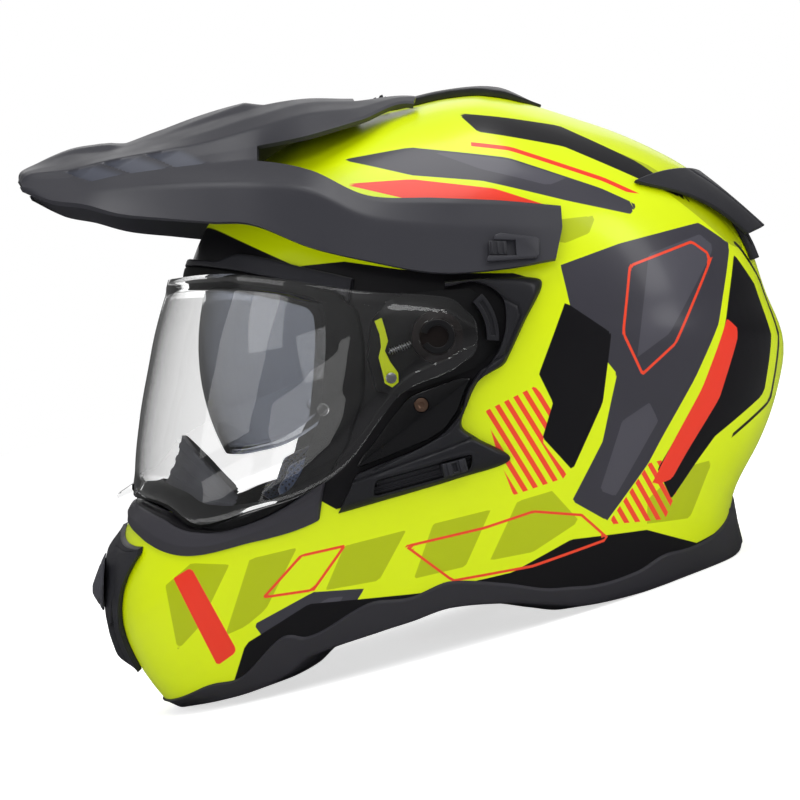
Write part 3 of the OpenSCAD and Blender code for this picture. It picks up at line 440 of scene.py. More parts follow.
    def grid_dir(self, u: Points, v: Points) -> Points:
        """Direction at station u and a share v of the way from eye port to rim.

        Args:
            u: station angles round the eye port, in degrees.
            v: shares of the way from the eye port to the rim.

        Returns:
            The directions.
        """
        near = arc_between(self.eye_dir(u), self.middle_dir(u), np.minimum(1, 2 * v)[..., None])
        far = arc_between(self.middle_dir(u), self.rim_dir(u), np.maximum(0, 2 * v - 1)[..., None])
        return np.where((v < 0.5)[..., None], near, far)


def turned(u: Points) -> Points:
    """Stations brought into -180 to 180."""
    u = np.asarray(u, float)
    return np.where(u > 180, u - 360, np.where(u < -180, u + 360, u))


STANCE = Stance()
FORM = ShellForm()


# Meshes from grids


def sheet_faces(shape: tuple[int, int], wrap: bool, keep: Optional[Points]) -> Points:
    """Quads of a two-skinned sheet over a grid: outer skin, inner skin and walls.

    Args:
        shape: points along the grid's first and second axis.
        wrap: whether the first axis closes on itself.
        keep: mask of the cells that are there, or None for all.

    Returns:
        Corner indices, four a row; the outer skin's points come first.
    """
    rows, cols = shape
    cells_u, cells_v = rows - (0 if wrap else 1), cols - 1
    kept = np.ones((cells_u, cells_v), bool) if keep is None else keep
    i, j = grid(np.arange(cells_u), np.arange(cells_v))
    next_i = (i + 1) % rows

    def corner(a: Points, b: Points, layer: int) -> Points:
        """Index of grid point (a, b) on a skin."""
        return a * cols + b + layer * rows * cols

    a, b = corner(i, j, 0), corner(next_i, j, 0)
    c, d = corner(next_i, j + 1, 0), corner(i, j + 1, 0)
    e, f = corner(i, j, 1), corner(next_i, j, 1)
    g, h = corner(next_i, j + 1, 1), corner(i, j + 1, 1)
    ring = np.pad(kept, ((1, 1), (1, 1)))
    if wrap:
        ring[0, 1:-1], ring[-1, 1:-1] = kept[-1], kept[0]
    walls = [
        (~ring[1:-1, :-2], (b, a, e, f)),
        (~ring[1:-1, 2:], (d, c, g, h)),
        (~ring[:-2, 1:-1], (a, d, h, e)),
        (~ring[2:, 1:-1], (c, b, f, g)),
    ]
    parts = [np.stack([a, b, c, d], -1)[kept], np.stack([e, h, g, f], -1)[kept]]
    parts += [np.stack(quad, -1)[kept & open_edge] for open_edge, quad in walls]
    return np.vstack(parts)


def grid_normals(points: Points) -> Points:
    """Unit normals of a grid of points, out of the face that turns i towards j."""
    return unit(np.cross(np.gradient(points, axis=0), np.gradient(points, axis=1)))


def two_skins(
    outer: Points, inner: Points, wrap: bool = False, keep: Optional[Points] = None
) -> tuple[Points, Points]:
    """Points and faces of a sheet between two grids, with sheet_faces' choices."""
    points = np.concatenate([outer.reshape(-1, 3), inner.reshape(-1, 3)])
    return points, sheet_faces(outer.shape[:2], wrap, keep)


def pad_mesh(
    outline: Points, centre: Sequence[float], shares: Points,
    low: Callable[..., Points], high: Callable[..., Points],
) -> tuple[Points, list]:
    """A closed pad on the left flank: rings from a centre out to a side-view outline.

    Args:
        outline: the rim in the side view.
        centre: where the rings shrink to.
        shares: each ring's share of the way out, the last one 1.
        low: half width of the lower skin from x, z and share.
        high: the same for the upper skin.

    Returns:
        Points and faces: both skins with a fan at their centre, and the wall.
    """
    middle, out = np.asarray(centre, float), np.asarray(shares, float)
    ring = middle + out[:, None, None] * (np.asarray(outline) - middle)
    count, rings = len(outline), len(out)
    x, z = ring[..., 0], ring[..., 1]
    skins = []
    for height in (high, low):
        skins.append(np.stack([x, -height(x, z, out[:, None]), z], -1).reshape(-1, 3))
        skins.append([[middle[0], -float(height(middle[0], middle[1], 0.0)), middle[1]]])
    r, k = grid(np.arange(rings - 1), np.arange(count))
    ahead = (k + 1) % count
    quads = np.stack([r * count + k, r * count + ahead, (r + 1) * count + ahead,
                      (r + 1) * count + k], -1).reshape(-1, 4)
    step = rings * count + 1
    faces = quads.tolist() + (quads[:, ::-1] + step).tolist()
    rim = (rings - 1) * count
    for k in range(count):
        ahead = (k + 1) % count
        faces.append([step - 1, ahead, k])
        faces.append([2 * step - 1, step + k, step + ahead])
        faces.append([rim + k, rim + ahead, step + rim + ahead, step + rim + k])
    return np.vstack(skins), faces


def rounded_corners(corners: Points, radius: Points, steps: int) -> Points:
    """Closed sections with each corner rounded by a quadratic curve.

    Args:
        corners: sections as (stations, corners, 3).
        radius: how far from each corner its curve starts, one a corner.
        steps: points a corner.

    Returns:
        Sections as (stations, corners * steps, 3).
    """
    to_last, to_next = np.roll(corners, 1, 1) - corners, np.roll(corners, -1, 1) - corners
    reach = np.broadcast_to(np.asarray(radius, float), corners.shape[:2])[..., None]
    back, ahead = (
        corners + unit(d) * np.minimum(reach, 0.42 * np.linalg.norm(d, axis=-1, keepdims=True))
        for d in (to_last, to_next)
    )
    t = np.linspace(0, 1, steps)[None, None, :, None]
    curve = (1 - t) ** 2 * back[:, :, None] + 2 * t * (1 - t) * corners[:, :, None]
    curve = curve + t**2 * ahead[:, :, None]
    return curve.reshape(len(corners), -1, corners.shape[-1])


def rounded_outline(corners: Sequence[Sequence[float]], radius: float, count: int) -> Points:
    """A closed plane outline with rounded corners, as count evenly spaced points.

    Args:
        corners: the corners in order.
        radius: radius of the corners.
        count: number of points.

    Returns:
        The points in order.
    """
    shape = rounded_corners(np.asarray(corners, float)[None], radius, 7)[0]
    loop = np.vstack([shape, shape[:1]])
    run = run_along(loop)
    at = np.linspace(0, run[-1], count, endpoint=False)
    return np.column_stack([np.interp(at, run, loop[:, k]) for k in range(loop.shape[1])])


def ring_faces(stations: int, points: int, closed: bool) -> list:
    """Faces of a tube of closed sections, joined end to end or capped.

    Args:
        stations: number of sections.
        points: points a section.
        closed: whether the last section joins the first.

    Returns:
        Faces as lists of corner indices, turned as part of a ring whose
        sections run anticlockwise seen from the station before.
    """
    i, j = grid(np.arange(stations if closed else stations - 1), np.arange(points))
    a, b = i * points + j, ((i + 1) % stations) * points + j
    c, d = ((i + 1) % stations) * points + (j + 1) % points, i * points + (j + 1) % points
    faces = np.stack([a, b, c, d], -1).reshape(-1, 4).tolist()
    if not closed:
        last = (stations - 1) * points
        faces.append(list(range(points))[::-1])
        faces.append([last + k for k in range(points)])
    return faces


def put(name: str, data: bpy.types.ID) -> Object:
    """A new object in the scene that shows the given data.

    Args:
        name: the object's name.
        data: its mesh, curve, light or camera.

    Returns:
        The object.
    """
    made = bpy.data.objects.new(name, data)
    bpy.context.scene.collection.objects.link(made)
    return made


@dataclass
class Piece:
    """One visible piece while it is made: its mesh, where it rides, what it replaces."""

    name: str
    body: str = "helmet"
    replaces: tuple[str, ...] = ()
    smooth_angle: float = 40.0

    def make(
        self, points: Points, faces: Union[Points, list], material: Material,
        attributes: Optional[dict[str, Points]] = None, uv: Optional[Points] = None,
    ) -> Object:
        """Builds the object from worn points, in place and at the origin.

        Args:
            points: corner points in worn millimetres.
            faces: corner indices.
            material: the piece's finish.
            attributes: values at each point, by name.
            uv: texture places at each point.

        Returns:
            The object, riding on its body.
        """
        flat = np.asarray(points, float).reshape(-1, 3)
        if isinstance(faces, np.ndarray):
            used, index = np.unique(faces, return_inverse=True)
            faces = index.reshape(faces.shape).tolist()
        else:
            used = np.arange(len(flat))
        mesh = bpy.data.meshes.new(self.name)
        mesh.from_pydata(STANCE.rest(flat[used]).tolist(), [], faces)
        for name, values in (attributes or {}).items():
            layer = mesh.attributes.new(name, "FLOAT", "POINT")
            layer.data.foreach_set("value", np.asarray(values, np.float32).ravel()[used])
        if uv is not None:
            corners = np.empty(len(mesh.loops), np.int32)
            mesh.loops.foreach_get("vertex_index", corners)
            places = np.asarray(uv, np.float32).reshape(-1, 2)[used][corners]
            mesh.uv_layers.new(name="UVMap").data.foreach_set("uv", places.ravel())
        mesh.validate()
        self.face_outwards(mesh)
        mesh.materials.append(material)
        piece = put(self.name, mesh)
        self.smooth(piece)
        return self.settle(piece)

    def sheet(
        self, skins: Sequence[Points], finish: "Finish", edge: float = 0.0,
        uv: Optional[Points] = None,
    ) -> Object:
        """Builds the object as a sheet between two grids of worn points.

        Args:
            skins: the outer and the inner grid.
            finish: the piece's finish.
            edge: reach of the rounding of its edges in millimetres, or nothing.
            uv: texture places at each point of either grid.

        Returns:
            The object, riding on its body.
        """
        places = None if uv is None else np.concatenate([uv, uv])
        piece = self.make(*two_skins(*skins), finish.get(), uv=places)
        if edge:
            soften_edges(piece, edge)
        return piece

    def tube(
        self, sections: Points, finish: "Finish", closed: bool = False,
        uv: Optional[Points] = None,
    ) -> Object:
        """Builds the object as a tube of sections, its ends joined or capped."""
        faces = ring_faces(*sections.shape[:2], closed)
        return self.make(sections, faces, finish.get(), uv=uv)

    def refine(self, node: Object, finish: "Finish", edge: float) -> Object:
        """A finer stand-in for a CAD node: its triangles merged, its edges rounded.

        Args:
            node: the CAD node, which is left alone.
            finish: the piece's finish.
            edge: reach of the rounding in millimetres.

        Returns:
            The object, riding on the node's body.
        """
        made = bmesh.new()
        made.from_mesh(node.data)
        bmesh.ops.remove_doubles(made, verts=made.verts, dist=2e-6)
        bmesh.ops.dissolve_limit(
            made, angle_limit=math.radians(1), verts=made.verts, edges=made.edges
        )
        mesh = bpy.data.meshes.new(self.name)
        made.to_mesh(mesh)
        made.free()
        mesh.materials.append(finish.get())
        piece = put(self.name, mesh)
        soften_edges(piece, edge)
        return self.settle(piece)

    def face_outwards(self, mesh: bpy.types.Mesh) -> None:
        """Turns all faces of a closed mesh round if they enclose a negative volume.

        Args:
            mesh: the mesh, changed in place.
        """
        made = bmesh.new()
        made.from_mesh(mesh)
        if made.calc_volume(signed=True) < 0:
            bmesh.ops.reverse_faces(made, faces=made.faces)
            made.to_mesh(mesh)
        made.free()

    def smooth(self, piece: Object) -> None:
        """Smooth shading, with edges sharp past the piece's own angle."""
        piece.data.shade_smooth()
        piece.data.set_sharp_from_angle(angle=math.radians(self.smooth_angle))

    def settle(self, piece: Object) -> Object:
        """Rides the piece on its body and hides the CAD nodes it stands for.

        Args:
            piece: the piece's object.

        Returns:
            The same object.
        """
        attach(piece, self.body)
        if self.replaces:
            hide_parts(*self.replaces)
        log.info("%s: %d faces on %s", self.name, len(piece.data.polygons), self.body)
        return piece


def sided(prefix: str, node: str, side: Side) -> Piece:
    """The piece that stands for a node with a side in its name."""
    name = f"{node}_{side.label}"
    return Piece(f"{prefix}_{name}", replaces=(name,))


def apply_modifiers(piece: Object) -> None:
    """Replaces a piece's mesh by what its modifiers give.

    Args:
        piece: the piece's object.
    """
    graph = bpy.context.evaluated_depsgraph_get()
    mesh = bpy.data.meshes.new_from_object(piece.evaluated_get(graph))
    piece.modifiers.clear()
    piece.data = mesh


def soften_edges(piece: Object, width: float) -> None:
    """Rounds a piece's sharp edges.

    Args:
        piece: the object, whose mesh is replaced.
        width: reach of the rounding in millimetres.
    """
    bevel = piece.modifiers.new("edge", "BEVEL")
    bevel.width, bevel.segments = width * MM, 2
    bevel.limit_method, bevel.angle_limit = "ANGLE", math.radians(38)
    bevel.use_clamp_overlap = True
    apply_modifiers(piece)
    piece.data.shade_smooth()
    piece.data.set_sharp_from_angle(angle=math.radians(50))


def join_or_cut(piece: Object, points: Points, faces: list, how: str) -> None:
    """Joins a closed mesh, given in worn millimetres, to a piece or cuts it out.

    Args:
        piece: the object, whose mesh is replaced.
        points: the other mesh's corner points.
        faces: its faces.
        how: UNION or DIFFERENCE.
    """
    mesh = bpy.data.meshes.new("tool")
    mesh.from_pydata(STANCE.rest(points).tolist(), [], faces)
    made = bmesh.new()
    made.from_mesh(mesh)
    bmesh.ops.recalc_face_normals(made, faces=made.faces)
    made.to_mesh(mesh)
    made.free()
    tool = put("tool", mesh)
    cut = piece.modifiers.new("cut", "BOOLEAN")
    cut.operation, cut.object, cut.solver = how, tool, "EXACT"
    apply_modifiers(piece)
    bpy.data.objects.remove(tool)


def prism(outline: Points, y_in: float, y_out: float) -> tuple[Points, list]:
    """Points and faces of a bar along Y on the left flank, from a side-view outline.

    Args:
        outline: the corners in the side view.
        y_in: the bar's inner end.
        y_out: its outer end.

    Returns:
        The points and the faces.
    """
    shape = np.asarray(outline, float)
    count = len(shape)
    ends = [np.column_stack([shape[:, 0], np.full(count, -y), shape[:, 1]]) for y in (y_in, y_out)]
    sides = [[k, (k + 1) % count, count + (k + 1) % count, count + k] for k in range(count)]
    caps = [list(range(count))[::-1], [count + k for k in range(count)]]
    return np.vstack(ends), sides + caps


def circle(centre: Sequence[float], radius: float, count: int) -> Points:
    """Points of a circle in the side view."""
    w = np.linspace(0, 2 * math.pi, count, endpoint=False)
    return np.column_stack([centre[0] + radius * np.cos(w), centre[1] + radius * np.sin(w)])


# Finishes


def linear(code: str) -> tuple[float, float, float, float]:
    """An sRGB hex value such as D9EE05 as linear red, green, blue and alpha.

    Args:
        code: six hex digits.

    Returns:
        The four linear values.
    """
    parts = [int(code[k : k + 2], 16) / 255 for k in (0, 2, 4)]
    light = [c / 12.92 if c <= 0.04045 else ((c + 0.055) / 1.055) ** 2.4 for c in parts]
    return (*light, 1.0)


def blank(block: Union[Material, bpy.types.World]) -> Tree:
    """The emptied node tree of a new material or world.

    Args:
        block: the material or world.

    Returns:
        The tree.
    """
    block.use_nodes = True
    block.node_tree.nodes.clear()
    return block.node_tree


def add(tree: Tree, kind: str, inputs: Optional[dict] = None, **settings) -> Node:
    """Adds a shader node with its settings, and links or sets its inputs.

    Args:
        tree: the material's or world's nodes.
        kind: the node type, without the word ShaderNode before it.
        inputs: socket name or number to a value, to another node's output, or to
            a node whose first output is meant.
        settings: attributes of the node.

    Returns:
        The node.
    """
    made = tree.nodes.new("ShaderNode" + kind)
    for name, value in settings.items():
        setattr(made, name, value)
    for key, value in (inputs or {}).items():
        source = value.outputs[0] if isinstance(value, Node) else value
        if isinstance(source, Socket):
            tree.links.new(source, made.inputs[key])
        else:
            made.inputs[key].default_value = source
    return made


def grain(tree: Tree, size_mm: float, depth_mm: float, detail: float = 3.0) -> Node:
    """Normal of a fine random grain of a real size, in object coordinates.

    Args:
        tree: the material's nodes.
        size_mm: spacing of the grain.
        depth_mm: height of the grain.
        detail: octaves of noise.

    Returns:
        The bump.
    """
    place = add(tree, "TexCoord").outputs["Object"]
    noise = add(
        tree, "TexNoise",
        {"Vector": place, "Scale": 1 / (size_mm * MM), "Detail": detail, "Roughness": 0.6},
    )
    relief = {"Height": noise.outputs["Fac"], "Distance": depth_mm * MM, "Strength": 1.0}
    return add(tree, "Bump", relief)


def blotch(tree: Tree, size_mm: float, low: float, high: float) -> Node:
    """A value that wanders between low and high over patches of a real size.

    Args:
        tree: the material's nodes.
        size_mm: size of the patches.
        low: the least value.
        high: the greatest value.

    Returns:
        The node that gives the value.
    """
    place = add(tree, "TexCoord").outputs["Object"]
    noise = add(tree, "TexNoise", {"Vector": place, "Scale": 1 / (size_mm * MM), "Detail": 4.0})
    ends = {"From Min": 0.3, "From Max": 0.7, "To Min": low, "To Max": high}
    return add(tree, "MapRange", {"Value": noise.outputs["Fac"], **ends})


@dataclass(frozen=True)
class MouldedPlastic:
    """Injection-moulded plastic with a spark-eroded grain, from matt to gloss."""

    name: str
    colour: str
    roughness: float = 0.5
    grain_mm: float = 0.5
    depth_mm: float = 0.03
    ior: float = 1.5
    spread: float = 0.05
    coat: float = 0.0
    shine: float = 0.3
    inlay: str = ""
    patch_mm: float = 18.0

    def sockets(self, tree: Tree) -> dict[str, Value]:
        """Grain in the normal, roughness in soft patches, one even colour.

        A second, lighter colour, if there is one, is a painted highlight; it shows where its mask
        attribute is high.

        Args:
            tree: the material's nodes.

        Returns:
            What the shader's sockets get.
        """
        colour: Value = linear(self.colour)
        # The second colour is a painted highlight, laid where its mask is high.
        if self.inlay:
            mask = add(tree, "Attribute", attribute_name="inlay").outputs["Fac"]
            tints = {0: mask, 6: colour, 7: linear(self.inlay)}
            colour = add(tree, "Mix", tints, data_type="RGBA").outputs[2]
        low, high = self.roughness - self.spread, self.roughness + self.spread
        return {
            "Base Color": colour, "Roughness": blotch(tree, self.patch_mm, low, high),
            "IOR": self.ior, "Specular IOR Level": self.shine, "Coat Weight": self.coat,
            "Coat Roughness": 0.06, "Normal": grain(tree, self.grain_mm, self.depth_mm),
        }


class Mark(Enum):
    """How a print layer fills its shapes."""

    FILL = "solid shapes"
    LINE = "their outlines"
    BARS = "parallel bars within them"


@dataclass(frozen=True)
class Layer:
    """One printed colour, by the attribute that holds its signed distance in millimetres."""

    attribute: str
    colour: str
    mark: Mark = Mark.FILL
    field: str = ""
    width: float = 1.3
    pitch: float = 5.0
    shift: float = 0.0
    softness: float = 0.14


@dataclass(frozen=True)
class LiveryPaint:
    """Sprayed base colour with printed shapes under one semi-matt clear coat."""

    name: str = "painted_shell_clear_coat"
    base: str = "DCF000"
    patch_mm: float = 60.0
    peel_mm: float = 1.6
    peel_depth_mm: float = 0.012
    layers: tuple[Layer, ...] = (
        Layer("tone", "B3C200"),
        Layer("bars", "F2452A", Mark.BARS, "bar_field"),
        Layer("charcoal", "3C3B43"),
        Layer("ash", "4E4D56"),
        Layer("coal", "131216"),
        Layer("ember", "F03A24"),
        Layer("outline", "EE4526", Mark.LINE),
        Layer("charcoal", "F03A24", Mark.LINE, "pin_field", 2.2, shift=5.0),
        Layer("coal", "131216", Mark.LINE, "rear_field", 1.6, shift=6.0),
    )

    def cover(self, tree: Tree, layer: Layer) -> Node:
        """Where a layer shows, from 0 to 1, cut crisp at its signed distance.

        Args:
            tree: the material's nodes.
            layer: the printed colour.

        Returns:
            The mask: an outline is where the distance is near nothing, and bars
            are where a triangle wave of the distance is high, within a field.
        """
        value = add(tree, "Attribute", attribute_name=layer.attribute).outputs["Fac"]
        if layer.mark is Mark.LINE:
            moved = add(tree, "Math", {0: value, 1: layer.shift}, operation="ADD")
            size = add(tree, "Math", {0: moved}, operation="ABSOLUTE")
            value = add(tree, "Math", {0: layer.width / 2, 1: size}, operation="SUBTRACT")
        elif layer.mark is Mark.BARS:
            wave = add(tree, "Math", {0: value, 1: layer.pitch / 2}, operation="PINGPONG")
            value = add(tree, "Math", {0: wave, 1: layer.pitch / 4}, operation="SUBTRACT")
        if layer.field:
            within = add(tree, "Attribute", attribute_name=layer.field).outputs["Fac"]
            value = add(tree, "Math", {0: value, 1: within}, operation="MINIMUM")
        ends = {"From Min": -layer.softness, "From Max": layer.softness}
        return add(tree, "MapRange", {"Value": value, **ends})

    def sockets(self, tree: Tree) -> dict[str, Value]:
        """Layers in printing order, soft gloss and a light orange peel.

        Args:
            tree: the material's nodes.

        Returns:
            What the shader's sockets get.
        """
        colour: Value = linear(self.base)
        for layer in self.layers:
            tints = {0: self.cover(tree, layer), 6: colour, 7: linear(layer.colour)}
            colour = add(tree, "Mix", tints, data_type="RGBA").outputs[2]
        return {
            "Base Color": colour, "IOR": 1.48, "Roughness": blotch(tree, self.patch_mm, 0.3, 0.36),
            "Specular IOR Level": 0.3, "Coat Weight": 0.25, "Coat Roughness": 0.14,
            "Coat IOR": 1.5, "Normal": grain(tree, self.peel_mm, self.peel_depth_mm, 1.0),
        }


@dataclass(frozen=True)
class Polycarbonate:
    """Injection-moulded optical polycarbonate, clear or smoke tinted."""

    name: str
    colour: str = "FFFFFF"
    ior: float = 1.585
    roughness: float = 0.0
    flow_mm: float = 26.0
    flow_depth_mm: float = 0.02

    def sockets(self, tree: Tree) -> dict[str, Value]:
        """Full transmission, with hardly visible flow marks.

        Args:
            tree: the material's nodes.

        Returns:
            What the shader's sockets get.
        """
        return {
            "Base Color": linear(self.colour), "IOR": self.ior, "Roughness": self.roughness,
            "Transmission Weight": 1.0,
            "Normal": grain(tree, self.flow_mm, self.flow_depth_mm, 0.0),
        }


@dataclass(frozen=True)
class Metal:
    """Machined or drawn metal; it keeps the default IOR."""

    name: str
    colour: str
    roughness: float
    spread: tuple[float, float] = (0.05, 0.08)
    patch_mm: float = 4.0
    mark_mm: float = 0.3
    mark_depth_mm: float = 0.008

    def sockets(self, tree: Tree) -> dict[str, Value]:
        """Full metal, fine drawing marks in the normal.

        Args:
            tree: the material's nodes.

        Returns:
            What the shader's sockets get.
        """
        low, high = self.roughness - self.spread[0], self.roughness + self.spread[1]
        return {
            "Base Color": linear(self.colour), "Metallic": 1.0,
            "Roughness": blotch(tree, self.patch_mm, low, high),
            "Normal": grain(tree, self.mark_mm, self.mark_depth_mm),
        }


@dataclass(frozen=True)
class BeadFoam:
    """Expanded polystyrene: fused beads about 3 mm across, dark grey."""

    name: str = "expanded_polystyrene_grey"
    colour: str = "2A2A2C"
    seam: str = "161618"
    bead_mm: float = 3.2
    depth_mm: float = 0.4

    def sockets(self, tree: Tree) -> dict[str, Value]:
        """Rounded cells with dark seams.

        Args:
            tree: the material's nodes.

        Returns:
            What the shader's sockets get.
        """
        place = add(tree, "TexCoord").outputs["Object"]
        cells = add(
            tree, "TexVoronoi", {"Vector": place, "Scale": 1 / (self.bead_mm * MM)},
            feature="DISTANCE_TO_EDGE",
        ).outputs["Distance"]
        tints = {0: cells, 6: linear(self.seam), 7: linear(self.colour)}
        relief = {"Height": cells, "Distance": self.depth_mm * MM, "Strength": 0.8}
        return {
            "Base Color": add(tree, "Mix", tints, data_type="RGBA").outputs[2],
            "Roughness": 0.85, "IOR": 1.4, "Normal": add(tree, "Bump", relief),
        }


@dataclass(frozen=True)
class Textile:
    """Woven or knitted cloth whose threads follow the piece's UV map, in millimetres."""

    name: str
    colour: str
    shade: str
    thread_mm: float
    depth_mm: float = 0.15
    holes: bool = False
    sheen: float = 0.3
    fuzz_mm: float = 0.6
    fuzz_depth_mm: float = 0.05

    def sockets(self, tree: Tree) -> dict[str, Value]:
        """Threads or punched holes by the product of two waves.

        Args:
            tree: the material's nodes.

        Returns:
            What the shader's sockets get.
        """
        place = add(tree, "UVMap", uv_map="UVMap")
        turns = 2 * math.pi / self.thread_mm
        split = add(tree, "SeparateXYZ", {"Vector": place})
        waves = []
        for axis in ("X", "Y"):
            scaled = add(tree, "Math", {0: split.outputs[axis], 1: turns}, operation="MULTIPLY")
            waves.append(add(tree, "Math", {0: scaled}, operation="SINE"))
        product = add(tree, "Math", dict(enumerate(waves)), operation="MULTIPLY")
        low, high = (0.35, 0.5) if self.holes else (-0.6, 0.6)
        ends = {"From Min": low, "From Max": high, "To Min": 1.0, "To Max": 0.0}
        mask = add(tree, "MapRange", {"Value": product, **ends})
        tints = {0: mask, 6: linear(self.shade), 7: linear(self.colour)}
        fuzz = grain(tree, self.fuzz_mm, self.fuzz_depth_mm)
        relief = {"Height": mask, "Distance": self.depth_mm * MM, "Strength": 1.0, "Normal": fuzz}
        return {
            "Base Color": add(tree, "Mix", tints, data_type="RGBA").outputs[2],
            "Roughness": 0.85, "IOR": 1.45, "Sheen Weight": self.sheen, "Sheen Roughness": 0.4,
            "Normal": add(tree, "Bump", relief),
        }


class Finish(Enum):
    """Every finish on the helmet, each under a line on what it gives the eye."""

    # Clear coat over sprayed paint: strong flat colours under soft, clean highlights.
    PAINT = LiveryPaint()
    # Matt paint on moulded ABS: even dark greys with wide, dull highlights.
    # The peak's lighter bluish grey on its scoop floors is a painted highlight.
    PEAK = MouldedPlastic(
        "peak_matt_painted_abs", "34343A", 0.4, 0.35, 0.01, shine=0.35, inlay="4B4E59"
    )
    BAND = MouldedPlastic("band_matt_painted_abs", "3A393F", 0.42, 0.35, 0.01)
    SHUTTER = MouldedPlastic("shutter_matt_painted_abs", "45454C", 0.38, 0.35, 0.01)
    SPOILER = MouldedPlastic("spoiler_matt_painted_abs", "2A2A2F", 0.38, 0.35, 0.01)
    # Bare moulded ABS: near black, with a satin shine along its edges.
    BLACK = MouldedPlastic("pod_moulded_abs_black", "232327", 0.36, 0.4, 0.01)
    # Lacquered ABS: the darkest of the plastics, with clear reflections.
    GLOSS = MouldedPlastic("cover_gloss_black_abs", "0E0E10", 0.16, 2.5, 0.004, coat=0.6)
    # Soft mouldings: dull, and the light fades slowly over their round edges.
    TRIM = MouldedPlastic("rim_trim_moulded_pvc", "35343A", 0.46, 0.4, 0.02)
    RUBBER = MouldedPlastic("gasket_moulded_rubber", "0F0F11", 0.6, 0.6, 0.03)
    NOSE = MouldedPlastic("nose_deflector_moulded_tpe", "4C4D54", 0.5, 0.6, 0.02)
    # Nylon and acetal of the working parts: satin, with small bright edges.
    VENT = MouldedPlastic("vent_moulded_nylon", "2C2C31", 0.42, 0.5, 0.02)
    BUCKLE = MouldedPlastic("buckle_moulded_nylon", "141416", 0.42, 0.5, 0.02)
    LEVER = MouldedPlastic("buckle_lever_moulded_nylon_red", "B4201A", 0.35, 0.5, 0.01)
    HUB = MouldedPlastic("pivot_hub_moulded_acetal_brown", "1C1514", 0.36, 0.5, 0.01)
    PIVOT = MouldedPlastic("pivot_moulded_acetal", "161618", 0.38, 0.5, 0.02)
    FLUO = MouldedPlastic("detent_lever_fluo_acetal", "C8D800", 0.3, 0.5, 0.01)
    # Optical polycarbonate: seen by its reflections and its darker edges.
    CLEAR = Polycarbonate("visor_clear_polycarbonate")
    SMOKE = Polycarbonate("sun_visor_smoke_polycarbonate", "AEB1B8")
    # Steel: small glints, white on the springs and brown on the screws.
    STEEL = Metal("drawn_steel_wire", "C9CACC", 0.28)
    SCREW = Metal("screw_browned_steel", "A98874", 0.3)
    # Fused foam beads: a dull dark grey that is crossed by darker seams.
    FOAM = BeadFoam()
    # Knits and weaves: threads or holes in two tones, without shine.
    MESH = Textile("cheek_perforated_knit", "44506B", "1D2330", 3.4, 0.3, holes=True)
    LINING = Textile("crown_brushed_knit", "3A4254", "262C3A", 1.6, 0.12)
    RIBBED = Textile("neck_roll_ribbed_knit", "26272C", "15161A", 1.4, 0.12)
    CURTAIN = Textile("curtain_woven_nylon", "1B1B1E", "0C0C0E", 1.2, 0.08)
    WEBBING = Textile("strap_woven_polyamide", "17171A", "08080A", 2.2, 0.25)

    def get(self) -> Material:
        """The finish's material, made once.

        Returns:
            A material whose Principled shader has what the finish's sockets say.
        """
        found = bpy.data.materials.get(self.value.name)
        if found:
            return found
        made = bpy.data.materials.new(self.value.name)
        tree = blank(made)
        shader = add(tree, "BsdfPrincipled", self.value.sockets(tree))
        add(tree, "OutputMaterial", {"Surface": shader})
        return made


# Sub-assemblies


